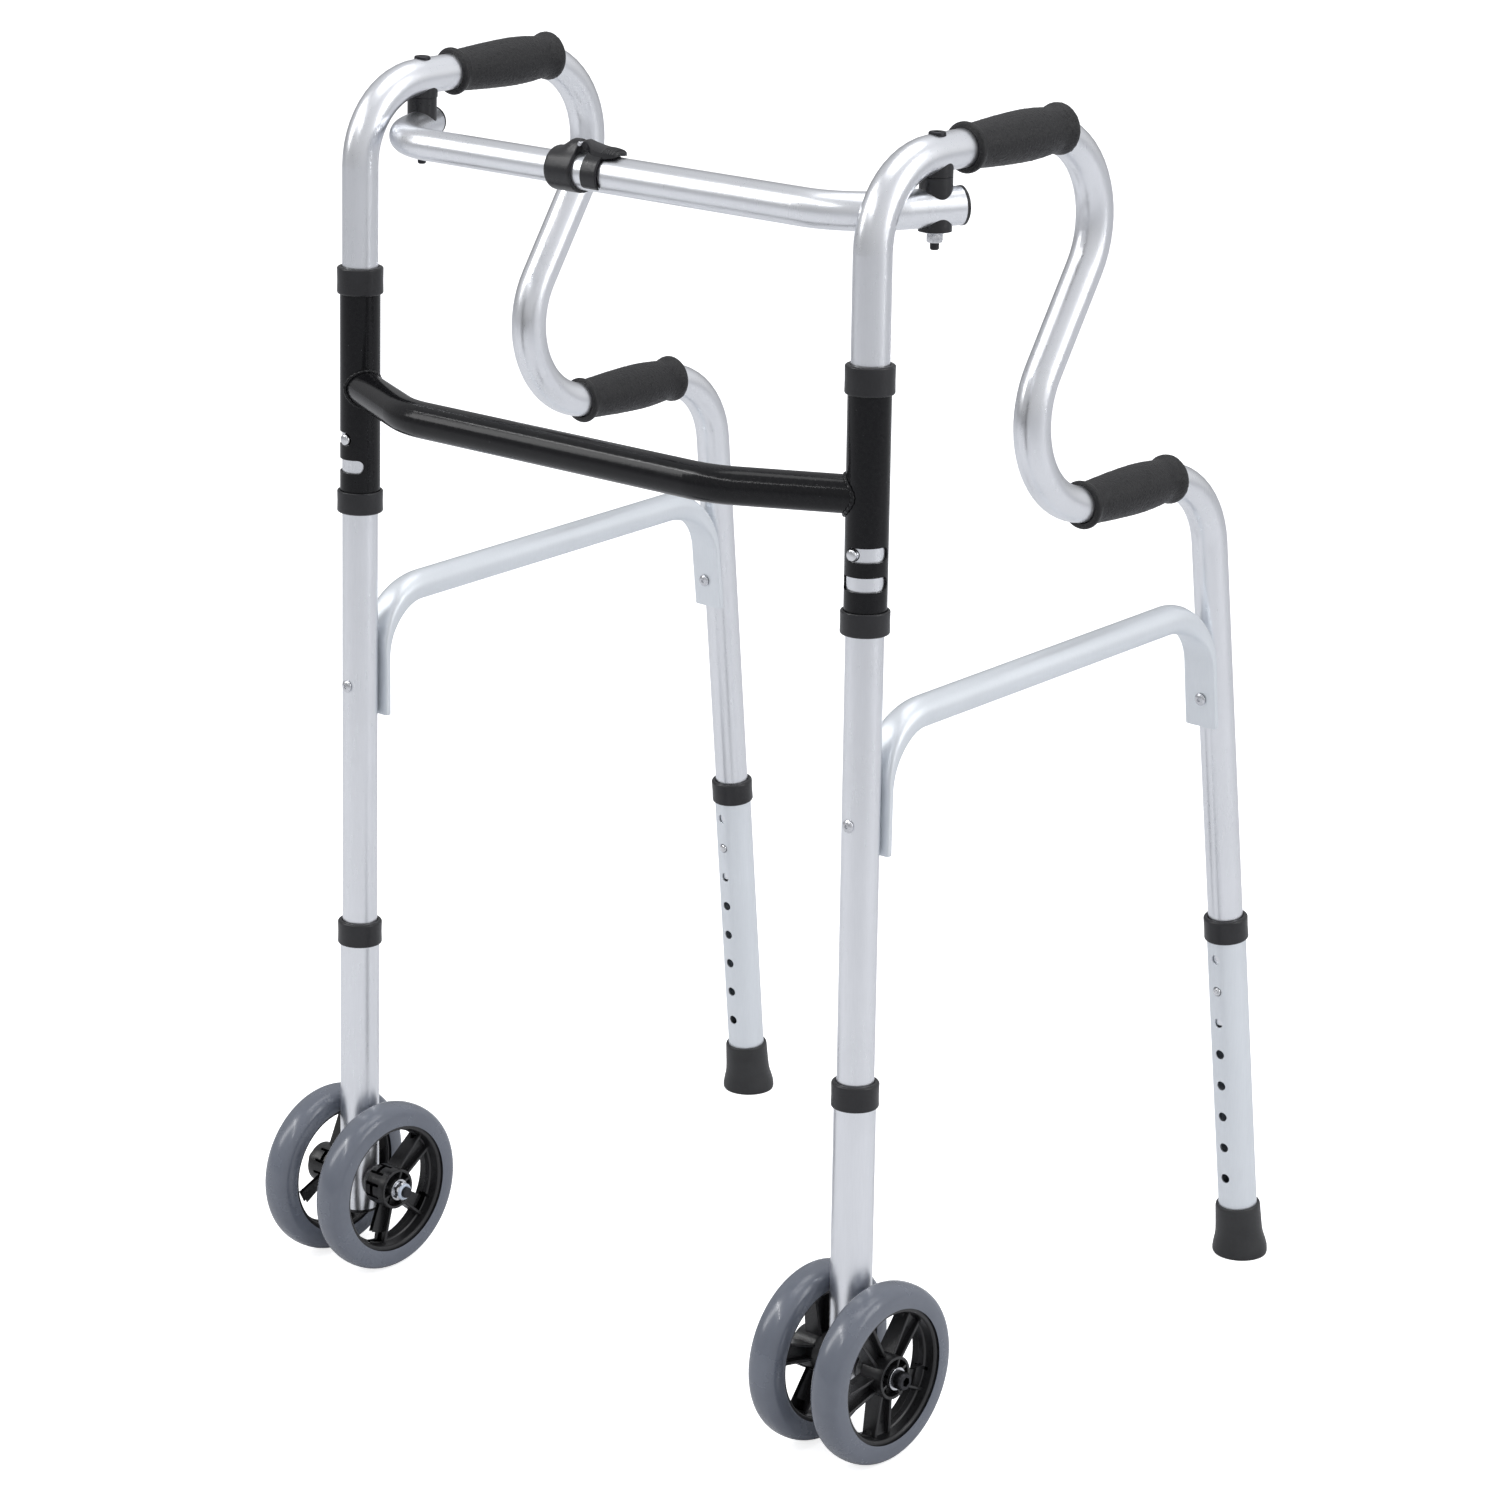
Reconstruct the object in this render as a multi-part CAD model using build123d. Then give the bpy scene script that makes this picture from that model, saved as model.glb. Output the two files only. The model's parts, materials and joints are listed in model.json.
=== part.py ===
from build123d import *
import os
import math

# Folding walking frame with twin front wheels. Millimetres, +Z up.
# +Y is the open rear where the user stands, -Y is the front. +X is the user's left.
# Origin: middle of the footprint, on the floor.

# ---------------------------------------------------------------- dimensions
YO = -203.0            # the wheel axles' line sits this far in front of the origin, about
TUBE_R = 12.7          # 25.4 mm side tubes
TUBE_RI = 11.4
OUT_R = 14.3           # 28.6 mm telescoping legs and hinge sleeves
OUT_RI = 13.1
WHEEL_R = 63.5         # 127 mm wheels
TYRE_W = 24.0
RIM_R = 49.5
WHEEL_OFF = 27.8       # wheel mid plane from the leg's axis
PITCH = 25.4           # height holes
HOLE_R = 3.6
TOP_Z = 874.5          # upper grip axis
LOW_Z = 613.5          # lower grip axis
S_R1, S_R2, REAR_R, FRONT_R = 63.0, 64.0, 61.0, 57.0
SLV_Z0, SLV_Z1 = 573.0, 747.5      # hinge sleeve
BAR_Z = 840.0          # upper telescoping bar
BAR_Y = 31.0 + YO
PIV_X, PIV_Y = 234.3, 87.0 + YO    # bar pivot
CROSS_Z = 663.0        # lower crossbar
CROSS_Y = -24.0 + YO
CROSS_X = 141.0
FOLD_BTN_Z = 626.5
FRONT_BTN_Z = 209.0
REAR_BTN_Z = 216.0
BRACE_Z0, BRACE_Z1 = 506.5, 512.0

os.makedirs("parts", exist_ok=True)


# ---------------------------------------------------------------- leg axes (left side)
def front_at(z):
    return Vector(240.8 - 0.0082 * z, 1.1 + YO + 0.0292 * z, z)


def rear_at(z):
    return Vector(247.4 - 0.0187 * z, 446.0 + YO - 0.0954 * z, z)


FD = (front_at(1000) - front_at(0)).normalized()
RD = (rear_at(1000) - rear_at(0)).normalized()


# ---------------------------------------------------------------- helpers
def rod(p, q, r):
    """Round bar from p to q."""
    p, q = Vector(*p), Vector(*q)
    d = q - p
    return Plane(origin=p, z_dir=d) * extrude(Circle(r), d.length)


def tube(p, q, ro, ri):
    p, q = Vector(*p), Vector(*q)
    e = (q - p).normalized()
    return rod(p, q, ro) - rod(p - e, q + e, ri)


def bent_path(points, radii):
    """Straight runs with arcs of the given radii at the corners."""
    pts = [Vector(*p) for p in points]
    edges = []
    last = pts[0]
    for i in range(1, len(pts) - 1):
        d1 = (pts[i] - pts[i - 1]).normalized()
        d2 = (pts[i + 1] - pts[i]).normalized()
        th = math.acos(max(-1.0, min(1.0, d1.dot(d2))))
        r = radii[i - 1]
        t = r * math.tan(th / 2)
        a, b = pts[i] - d1 * t, pts[i] + d2 * t
        bis = (d2 - d1).normalized()
        c = pts[i] + bis * (r / math.cos(th / 2))
        edges.append(Line(last, a))
        edges.append(ThreePointArc(a, c - bis * r, b))
        last = b
    edges.append(Line(last, pts[-1]))
    return Wire([e.edge() if hasattr(e, "edge") else e for e in edges])


def swept(path, r):
    return sweep(Plane(origin=path @ 0, z_dir=path % 0) * Circle(r), path=path)


def revolve_on(p, d, prof):
    """Solid of revolution about the line p + t d, from a closed (t, radius) profile."""
    d = Vector(*d).normalized()
    ref = Vector(1, 0, 0) if abs(d.X) < 0.9 else Vector(0, 0, 1)
    x = (ref - d * ref.dot(d)).normalized()
    pl = Plane(origin=Vector(*p), x_dir=x, z_dir=x.cross(d))
    # plane axes: local X = radius direction, local Y = z_dir x x_dir
    ydir = pl.y_dir
    s = 1.0 if ydir.dot(d) > 0 else -1.0
    face = make_face(Polyline([(r, s * t) for t, r in prof], close=True))
    return revolve(pl * face, Axis(Vector(*p), d), 360)


def ring(p, d, t0, t1, ro, ri, c=0.6):
    """Chamfered ring about an axis, between t0 and t1."""
    return revolve_on(p, d, [(t0, ri), (t0, ro - c), (t0 + c, ro), (t1 - c, ro), (t1, ro - c), (t1, ri)])


def M(s):
    return mirror(s, about=Plane.YZ)


def save(name, shape):
    if isinstance(shape, (list, tuple)):
        sol = []
        for s in shape:
            sol += list(s.solids())
    else:
        sol = list(shape.solids())
    c = sol[0] if len(sol) == 1 else Compound(children=sol)
    c.label = name
    export_step(c, "parts/" + name + ".step")


def both(name, shape):
    """Write the left piece and its mirror image."""
    if isinstance(shape, (list, tuple)):
        save("left_" + name, list(shape))
        save("right_" + name, [M(s) for s in shape])
    else:
        save("left_" + name, shape)
        save("right_" + name, M(shape))


# ---------------------------------------------------------------- side tube
P_F0 = front_at(196.3)
P_R0 = rear_at(190.0)
corner_front = front_at(TOP_Z)
SLOPE = 0.664
side_pts = [
    P_F0,
    corner_front,
    Vector(234.2, 308.5 + YO, TOP_Z),
    Vector(234.9, 134.6 + YO, LOW_Z),
    rear_at(LOW_Z),
    P_R0,
]
side_radii = [FRONT_R, S_R1, S_R2, REAR_R]
side_path = bent_path(side_pts, side_radii)
side_long = bent_path([P_F0 - FD * 1.0] + side_pts[1:-1] + [P_R0 - RD * 1.0], side_radii)
side_solid = swept(side_path, TUBE_R)
side_tube = side_solid - swept(side_long, TUBE_RI)
# holes: fold button facing front, height buttons, bar pivot bolt
pf = front_at(FOLD_BTN_Z)
ph = front_at(FRONT_BTN_Z)
pr = rear_at(REAR_BTN_Z)
side_tube -= rod(pf, pf + Vector(0, -30, 0), 4.4)
side_tube -= rod(ph, ph + Vector(0, 30, 0), 3.5)
side_tube -= rod(pr, pr + Vector(0, -30, 0), 3.5)
piv0 = Vector(PIV_X, PIV_Y, TOP_Z)


def piv(z):
    """Point of the bar pivot's axis at height z."""
    return piv0 + FD * ((z - TOP_Z) / FD.Z)


side_tube -= rod(piv(TOP_Z - 20), piv(TOP_Z + 20), 3.4)

# ---------------------------------------------------------------- hinge sleeve, front frame
S0, S1 = front_at(SLV_Z0), front_at(SLV_Z1)
sleeve = tube(S0, S1, OUT_R, OUT_RI)


def slot(z, a0, a1, h):
    """Slot through the sleeve wall; angles from the front, towards the outer side."""
    p = front_at(z)
    n = int(abs(a1 - a0) / 20) + 2
    big = 40.0
    pts = [(0, 0)]
    for i in range(n):
        a = math.radians(a0 + (a1 - a0) * i / (n - 1))
        pts.append((big * math.sin(a), -big * math.cos(a)))
    face = make_face(Polyline(pts, close=True))
    w = Plane(origin=p - Vector(0, 0, h / 2), x_dir=(1, 0, 0), z_dir=(0, 0, 1)) * extrude(face, h)
    out = [w]
    for a in (a0, a1):
        r = math.radians(a)
        d = Vector(math.sin(r), -math.cos(r), 0)
        out.append(rod(p + d * 4, p + d * 30, h / 2))
    return out


for z, a0, a1 in ((FOLD_BTN_Z, 0.0, 92.0), (FOLD_BTN_Z - 19.5, -38.0, 92.0)):
    for c in slot(z, a0, a1, 9.6):
        sleeve -= c
both("hinge_sleeve", sleeve)

# plastic bushes capping the sleeve's ends
top_c = revolve_on(S1, FD, [(-18, OUT_R + 0.05), (-18, 15.9), (-17.4, 16.4), (0.2, 16.4), (1.1, 15.4), (1.1, 13.0), (0.1, 13.0), (0.1, OUT_R + 0.05)])
bot_c = revolve_on(S0, FD, [(15, OUT_R + 0.05), (15, 15.9), (14.4, 16.4), (-0.2, 16.4), (-1.1, 15.4), (-1.1, 13.0), (-0.1, 13.0), (-0.1, OUT_R + 0.05)])
both("sleeve_collars", [top_c, bot_c])

# lower crossbar, bowed forward, its ends cut to the sleeves
cs = front_at(CROSS_Z)
cross_pts = [
    Vector(-cs.X, cs.Y, CROSS_Z),
    Vector(-CROSS_X, CROSS_Y, CROSS_Z),
    Vector(CROSS_X, CROSS_Y, CROSS_Z),
    Vector(cs.X, cs.Y, CROSS_Z),
]
cross_path = bent_path(cross_pts, [70.0, 70.0])
cross = swept(cross_path, TUBE_R) - swept(cross_path, TUBE_RI)
full = rod(front_at(500), front_at(820), OUT_R + 0.02)
cross = cross - full - M(full)
cross = max(cross.solids(), key=lambda s: s.volume)
save("lower_crossbar", cross)


# ---------------------------------------------------------------- brace between the legs
def flat_section(origin, zdir, xdir, w, h):
    r = min(w, h) / 2 * 0.98
    return Plane(origin=origin, x_dir=xdir, z_dir=zdir) * RectangleRounded(w, h, r)


fl = front_at(445)
rl = rear_at(447)
ymid0 = fl.Y + 62
ymid1 = rl.Y - 62
xa, xb = front_at(506).X, rear_at(512).X
pa = Vector(xa, ymid0, BRACE_Z0)
pb = Vector(xb, ymid1, BRACE_Z1)
run = (pb - pa).normalized()
mid = rod(pa, pb, 9.5) - rod(pa - run, pb + run, 8.2)
# front end: bends down and flattens against the back of the front leg
yf = front_at(470).Y + TUBE_R + 2.3
f_secs = [
    flat_section(pa, -run, (1, 0, 0), 19.0, 19.0),
    flat_section(pa - run * 14, -run, (1, 0, 0), 20.0, 17.5),
    flat_section(Vector(xa, yf + 12.5, BRACE_Z0 - 6.5), Vector(0, -1, -0.75), (1, 0, 0), 22.5, 10.0),
    flat_section(Vector(xa, yf + 1.6, BRACE_Z0 - 26), Vector(0, -0.12, -1), (1, 0, 0), 24.5, 4.6),
]
front_bend = loft(f_secs)
front_pad = Plane(origin=Vector(front_at(455).X, front_at(455).Y + TUBE_R + 2.2, 450.5), x_dir=(1, 0, 0), z_dir=(0, 1, 0)) * extrude(RectangleRounded(24.0, 62.0, 8.0), 3.0, both=False)
# rear end: flat and wide on the front of the rear leg
yr = rear_at(470).Y - TUBE_R - 2.3
r_secs = [
    flat_section(pb, run, (1, 0, 0), 19.0, 19.0),
    flat_section(pb + run * 14, run, (1, 0, 0), 20.0, 17.5),
    flat_section(Vector(xb, yr - 12.5, BRACE_Z1 - 6.5), Vector(0, 1, -0.75), (1, 0, 0), 22.5, 10.0),
    flat_section(Vector(xb, yr - 1.6, BRACE_Z1 - 27), Vector(0, 0.16, -1), (1, 0, 0), 24.5, 4.6),
]
rear_bend = loft(r_secs)
rear_pad = Plane(origin=rear_at(456) + Vector(0, -TUBE_R - 2.2, 0), x_dir=(1, 0, 0), z_dir=(RD.cross(Vector(1, 0, 0)) * (-1 if RD.cross(Vector(1, 0, 0)).Y > 0 else 1))) * extrude(RectangleRounded(25.0, 60.0, 9.0), 3.0)
brace = mid + front_bend + front_pad + rear_bend + rear_pad
brace -= rod(front_at(380), front_at(560), TUBE_R + 0.02)
brace -= rod(rear_at(380), rear_at(560), TUBE_R + 0.02)
riv_f = front_at(444.5)
riv_r = rear_at(446.5)
# rivet directions, square to each leg and pointing to the front
RF = (Vector(0, -1, 0) - FD * FD.dot(Vector(0, -1, 0))).normalized()
RR = (Vector(0, -1, 0) - RD * RD.dot(Vector(0, -1, 0))).normalized()
brace -= rod(riv_f, riv_f - RF * 40, 2.5)
brace -= rod(riv_r, riv_r + RR * 40, 2.5)
brace = max(brace.solids(), key=lambda s: s.volume)


def rivet(p, d, back, front):
    """Dome rivet through leg and pad: a big head at the front, a set head behind."""
    return revolve_on(p, d, [(-back - 1.0, 0), (-back - 1.0, 2.6), (-back - 0.1, 4.2), (-back - 0.1, 2.4), (front + 0.15, 2.4), (front + 0.15, 4.6), (front + 1.0, 4.3), (front + 2.0, 2.6), (front + 2.4, 0)])


riv1 = rivet(riv_f, RF, TUBE_R + 5.7, TUBE_R)
riv2 = rivet(riv_r, RR, TUBE_R, TUBE_R + 5.7)
both("brace", brace)
both("brace_rivets", [riv1, riv2])

# the side tube gets its rivet holes
side_tube -= rod(riv_f - RF * 30, riv_f + RF * 30, 2.5)
side_tube -= rod(riv_r - RR * 30, riv_r + RR * 30, 2.5)


# ---------------------------------------------------------------- hand grips
def grip(y0, y1, x, z):
    L = y1 - y0
    prof = [(0, 12.0), (0, 15.6), (1.2, 16.8), (3.4, 17.0), (5.2, 15.9), (6.4, 14.6), (12, 15.0), (0.35 * L, 16.5),
            (0.55 * L, 17.2), (0.75 * L, 16.5), (L - 14, 15.2), (L - 10, 15.3), (L - 6, 17.0), (L - 3, 17.7), (L - 1.0, 17.1), (L, 15.4), (L, 12.0)]
    g = revolve_on((x, y0 + YO, z), (0, 1, 0), prof)
    return g - side_solid


both("upper_grip", grip(114.2, 215.7, 234.1, TOP_Z))
both("lower_grip", grip(243.5, 346.0, 235.4, LOW_Z))

# ---------------------------------------------------------------- upper bar pivot hardware (left)
BZ = BAR_Z
# bolt along the pivot axis, head on top of the side tube
b_top = piv(TOP_Z + TUBE_R)
bolt = revolve_on(b_top, FD, [(1.5, 0), (1.5, 4.9), (0.5, 5.8), (-1.5, 5.8), (-1.5, 3.0), (-73.6, 3.0), (-74.5, 2.2), (-74.5, 0)])
bolt -= Plane(origin=b_top + FD * -0.9, x_dir=(1, 0, 0), z_dir=FD) * extrude(RegularPolygon(2.3, 6), 4.0)
LOWER = 2.4            # the lower saddle below the bar
nut_t = -(TOP_Z + TUBE_R - (BZ - TUBE_R - LOWER))
washer = revolve_on(b_top, FD, [(nut_t - 1.4, 3.2), (nut_t - 1.4, 6.4), (nut_t - 0.3, 6.4), (nut_t - 0.3, 3.2)])
nut_pl = Plane(origin=b_top + FD * (nut_t - 7.4), x_dir=(1, 0, 0), z_dir=FD)
nut = (nut_pl * extrude(RegularPolygon(5.6, 6), 5.8)) - rod(piv(700), piv(860), 3.02)
side_cut = rod(b_top - FD * 1.5, b_top + FD * 4, 5.9)
side_tube -= side_cut
both("side_tube", side_tube)
both("pivot_fasteners", [bolt, washer, nut])

# seat under the side tube: fixed half cups the tube, turning half cups the bar
SEAM = BZ + TUBE_R + 7.4
SEAT_R = 11.0
seat = rod(piv(SEAM + 0.15), piv(TOP_Z), SEAT_R)
seat -= side_solid
seat -= rod(piv(800), piv(900), 3.3)
seat = min(seat.solids(), key=lambda s: abs(s.center().Z - (SEAM + 3)))
both("pivot_seat", seat)


def bar_saddles(bar_solid, pz, r):
    upper = rod(pz(BZ), pz(SEAM - 0.15), r) - bar_solid - rod(pz(780), pz(900), 3.3)
    upper = max(upper.solids(), key=lambda s: s.center().Z)
    lower = rod(pz(BZ - TUBE_R - LOWER), pz(BZ), r) - bar_solid - rod(pz(780), pz(900), 3.3)
    lower = min(lower.solids(), key=lambda s: s.center().Z)
    return [upper, lower]


# ---------------------------------------------------------------- upper telescoping bar
ANG = math.radians(65.0)
dy = PIV_Y - BAR_Y
pb_x = piv(BZ).X
pb_y = piv(BZ).Y
cx = pb_x - (pb_y - BAR_Y) / math.tan(ANG)
ux, uy = math.cos(ANG), math.sin(ANG)
BAR_TAIL = 17.0
BAR_BEND = 60.0
end_l = Vector(pb_x + ux * BAR_TAIL, pb_y + uy * BAR_TAIL, BZ)
OUT_END = -36.0        # the outer tube's open end
IN_END = 44.0          # the inner tube's end inside the outer one
IN_R = 11.0
IN_RI = 9.8
outer_pts = [Vector(OUT_END, BAR_Y, BZ), Vector(cx, BAR_Y, BZ), end_l]
outer_long = [Vector(OUT_END - 1, BAR_Y, BZ), Vector(cx, BAR_Y, BZ), end_l + Vector(ux, uy, 0)]
op = bent_path(outer_pts, [BAR_BEND])
outer_solid = swept(op, TUBE_R)
outer_bar = outer_solid - swept(bent_path(outer_long, [BAR_BEND]), 11.3)
outer_bar -= rod(piv(780), piv(900), 3.3)
# keeper hole for the clip's tooth, on top
CLIP_HX = -6.5
outer_bar -= rod(Vector(CLIP_HX, BAR_Y, BZ), Vector(CLIP_HX, BAR_Y, BZ + 30), 3.2)
save("left_bar_outer_tube", outer_bar)
inner_pts = [Vector(IN_END, BAR_Y, BZ), Vector(-cx, BAR_Y, BZ), Vector(-end_l.X, end_l.Y, BZ)]
inner_long = [Vector(IN_END + 1, BAR_Y, BZ), Vector(-cx, BAR_Y, BZ), Vector(-end_l.X - ux, end_l.Y + uy, BZ)]
ip = bent_path(inner_pts, [BAR_BEND])
inner_solid = swept(ip, IN_R)
inner_bar = inner_solid - swept(bent_path(inner_long, [BAR_BEND]), IN_RI)
inner_bar -= M(rod(piv(780), piv(900), 3.3))
inner_bar -= rod(Vector(CLIP_HX, BAR_Y, BZ), Vector(CLIP_HX, BAR_Y, BZ + 30), 3.2)
save("right_bar_inner_tube", inner_bar)
save("left_bar_saddles", bar_saddles(outer_solid, piv, SEAT_R))


def pivm(z):
    p = piv(z)
    return Vector(-p.X, p.Y, p.Z)


save("right_bar_saddles", bar_saddles(inner_solid, pivm, 10.4))
# end caps of the bar
cap_d = Vector(ux, uy, 0)
cap_l = revolve_on(end_l, cap_d, [(-9, 0), (-9, 11.1), (0.05, 11.1), (0.05, 12.9), (1.8, 12.9), (2.8, 11.6), (2.8, 0)])
save("left_bar_end_cap", cap_l)
e2, d2 = Vector(-end_l.X, end_l.Y, BZ), Vector(-ux, uy, 0)
cap_r = revolve_on(e2, d2, [(-9, 0), (-9, 9.6), (0.05, 9.6), (0.05, 11.2), (1.8, 11.2), (2.8, 10.0), (2.8, 0)])
save("right_bar_end_cap", cap_r)

# ---------------------------------------------------------------- clip lock on the bar
CX0, CX1 = -47.0, -23.5
clip = revolve_on((0, BAR_Y, BZ), (1, 0, 0), [(CX0, 11.35), (CX0, 14.4), (CX0 + 1, 15.0), (CX1 - 1.5, 15.6), (CX1, 15.0), (CX1, 12.75), (OUT_END - 0.1, 12.75), (OUT_END - 0.1, 11.35)])
# two ears on top carry the lever's pin
PINX, PINZ = -21.5, BZ + 19.0
ear_blk = Plane(origin=(CX1 - 14, BAR_Y, BZ + 12.9), x_dir=(1, 0, 0), z_dir=(0, 0, 1)) * extrude(Pos(6.5, 0) * RectangleRounded(14.0, 16.0, 2.0), 6.0)
ear = ear_blk + rod((PINX, BAR_Y - 8, PINZ), (PINX, BAR_Y + 8, PINZ), 3.6)
ear -= Plane(origin=(PINX, BAR_Y, BZ + 15.9), x_dir=(1, 0, 0), z_dir=(0, 0, 1)) * extrude(Rectangle(13.0, 8.6), 20.0)
ear -= rod((PINX, BAR_Y - 20, PINZ), (PINX, BAR_Y + 20, PINZ), 1.6)
clip = clip + (ear - rod((-80, BAR_Y, BZ), (20, BAR_Y, BZ), 12.75))
save("clip_collar", clip)
# lever: a bridge from the pin to a stirrup over the outer tube, with a ribbed thumb tab
HX0, HX1 = -13.5, 0.5
st_o = Plane(origin=(HX0, BAR_Y, BZ), x_dir=(0, 1, 0), z_dir=(1, 0, 0)) * extrude(Pos(0, 0) * (Circle(15.8) + Pos(0, -6.4) * Rectangle(31.6, 12.8)), HX1 - HX0)
st_i = Plane(origin=(HX0 - 1, BAR_Y, BZ), x_dir=(0, 1, 0), z_dir=(1, 0, 0)) * extrude(Circle(13.1) + Pos(0, -10) * Rectangle(26.2, 20), HX1 - HX0 + 2)
lever = st_o - st_i
bridge = Plane(origin=(0, BAR_Y - 4.0, 0), x_dir=(1, 0, 0), z_dir=(0, 1, 0)) * extrude(
    make_face(Polyline([(PINX - 1.8, -(PINZ - 1.9)), (PINX - 2.4, -(PINZ + 0.6)), (PINX - 1.6, -(PINZ + 2.4)), (PINX + 8, -(PINZ + 3.0)), (HX1, -(BZ + 18.8)), (11.0, -(BZ + 17.8)), (11.0, -(BZ + 15.4)), (HX1, -(BZ + 15.0)), (HX0, -(BZ + 14.2)), (PINX + 4.0, -(PINZ - 2.4))], close=True)), 8.0)
tab = Plane(origin=(HX1 - 3, BAR_Y, BZ + 13.6), x_dir=(1, 0, 0), z_dir=(0, 0, 1)) * extrude(Pos(6.5, 0) * RectangleRounded(15.0, 17.0, 4.0), 3.6)
lever = lever + bridge + tab
# the outer tube stays clear below the lever
lever -= rod((-80, BAR_Y, BZ), (60, BAR_Y, BZ), 13.1)
pin = rod((PINX, BAR_Y - 7.7, PINZ), (PINX, BAR_Y + 7.7, PINZ), 1.5)
lever = lever + pin
tooth = rod((CLIP_HX, BAR_Y, BZ + 11.15), (CLIP_HX, BAR_Y, BZ + 15.0), 2.6)
lever = lever + tooth
lever = max(lever.solids(), key=lambda s: s.volume)
save("clip_lever", lever)


# ---------------------------------------------------------------- snap buttons and their springs
def snap(p, d, r, reach):
    """Domed button at p pointing along d, its rim inside the tube wall."""
    return revolve_on(p, d, [(7.2, 0), (7.2, r + 0.9), (8.6, r + 0.9), (9.2, r), (reach - 1.4, r), (reach - 0.4, r * 0.72), (reach, 0)])


FB = Vector(0, -1, 0)
both("fold_button", snap(pf, FB, 4.0, OUT_R + 2.2))
both("front_height_button", snap(ph, Vector(0, 1, 0), 3.1, OUT_R + 1.6))
both("rear_height_button", snap(pr, FB, 3.1, OUT_R + 1.6))


def leaf(p, d, axis):
    """V spring of flat strip inside the tube, behind a button."""
    d = Vector(*d)
    pl = Plane(origin=p, x_dir=d, z_dir=d.cross(axis))
    s = 1 if pl.y_dir.dot(axis) > 0 else -1
    pts = [(6.5, -5 * s), (6.5, 5 * s), (0.5, 32 * s), (-2.5, 34 * s), (-5.2, 31.5 * s), (-9.0, 6 * s), (-9.7, 6 * s),
           (-6.0, 32.4 * s), (-2.6, 34.9 * s), (1.2, 32.8 * s), (7.1, 5.3 * s), (7.1, -5 * s)]
    f = make_face(Polyline(pts, close=True))
    return pl * Pos(0, 0, -2.5) * extrude(f, 5.0)


springs = [leaf(pf, FB, FD), leaf(ph, Vector(0, 1, 0), FD), leaf(pr, FB, RD)]
both("button_springs", springs)

# ---------------------------------------------------------------- front leg extension
AX = front_at(WHEEL_R)
E0, E1 = front_at(41.0), front_at(262.0)
fext = tube(E0, E1, OUT_R, OUT_RI)
for k in range(-1, 6):
    p = front_at(FRONT_BTN_Z) - FD * (PITCH * k)
    fext -= rod(p, p + Vector(0, 30, 0), HOLE_R)
fext -= rod(AX + Vector(-30, 0, 0), AX + Vector(30, 0, 0), 4.15)
both("front_extension", fext)
fcol = revolve_on(E1, FD, [(-14.5, OUT_R + 0.05), (-14.5, 15.7), (-13.8, 16.2), (2.4, 16.2), (3.3, 15.2), (3.3, 13.0), (0.1, 13.0), (0.1, OUT_R + 0.05)])
both("front_collar", fcol)
plug = revolve_on(E0, FD, [(-3.2, 0), (-3.2, 12.6), (-2.4, 14.0), (-0.05, 14.0), (-0.05, 12.95), (12.5, 12.95), (13.3, 11.8), (13.3, 0)])
both("front_end_plug", plug)

# axle: socket-head bolt through both wheels and the leg, locked by a nylon insert nut
HUB0, HUB1 = 15.0, 40.8            # hub's inner and outer faces, from the leg's axis
bolt_a = revolve_on(AX, (1, 0, 0), [(-(HUB1 + 11.0), 0), (-(HUB1 + 11.0), 3.4), (-(HUB1 + 10.2), 4.0), (HUB1 + 1.8, 4.0), (HUB1 + 1.8, 6.5), (HUB1 + 8.8, 6.5), (HUB1 + 9.4, 5.9), (HUB1 + 9.4, 3.4), (HUB1 + 5.5, 3.0), (HUB1 + 5.5, 0)])
both("axle_bolt", bolt_a)


def flat_ring(t0, t1, ro, ri):
    return revolve_on(AX, (1, 0, 0), [(t0, ri), (t0, ro), (t1, ro), (t1, ri)])


wash_o = flat_ring(HUB1 + 0.3, HUB1 + 1.75, 8.0, 4.05)
wash_i = flat_ring(-(HUB1 + 1.75), -(HUB1 + 0.3), 8.0, 4.05)
nut_a = (Plane(origin=AX + Vector(-(HUB1 + 8.4), 0, 0), x_dir=(0, 1, 0), z_dir=(1, 0, 0)) * extrude(RegularPolygon(7.5, 6), 6.6)) - rod(AX + Vector(-80, 0, 0), AX + Vector(80, 0, 0), 4.02)
both("axle_nut_and_washers", [nut_a, wash_o, wash_i])


# ---------------------------------------------------------------- wheels
def wheel(side):
    """Rim and tyre; side +1 is the outer wheel, -1 the inner one."""
    c = AX + Vector(side * WHEEL_OFF, 0, 0)
    X = (1, 0, 0)
    hub = revolve_on(AX, X, [(side * HUB0, 4.1), (side * HUB0, 12.5), (side * (HUB0 + 9), 15.4), (side * (HUB1 - 4), 15.4), (side * HUB1, 15.0), (side * HUB1, 4.1)])
    rimr = revolve_on(c, X, [(-10.5, 43.0), (-10.5, RIM_R), (10.5, RIM_R), (10.5, 43.0), (8.5, 42.0), (-8.5, 42.0)])
    rim = hub + rimr
    for i in range(5):
        sp = Plane(origin=c, x_dir=(0, 1, 0), z_dir=(1, 0, 0)) * (Rot(0, 0, 90 + 72 * i) * Pos(27.2, 0, -6.5) * extrude(Rectangle(33.0, 15.0), 13.0))
        rim = rim + sp
    rim -= rod(AX + Vector(-80, 0, 0), AX + Vector(80, 0, 0), 4.1)
    w = TYRE_W / 2
    tyre = revolve_on(c, X, [(-10.6, RIM_R + 0.02), (-w, RIM_R + 1.2), (-w, 55.5), (-11.3, 58.6), (-9.6, 60.9), (-7.0, 62.4), (-3.8, WHEEL_R - 0.25), (0, WHEEL_R),
                             (3.8, WHEEL_R - 0.25), (7.0, 62.4), (9.6, 60.9), (11.3, 58.6), (w, 55.5), (w, RIM_R + 1.2), (10.6, RIM_R + 0.02)])
    return rim, tyre


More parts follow.
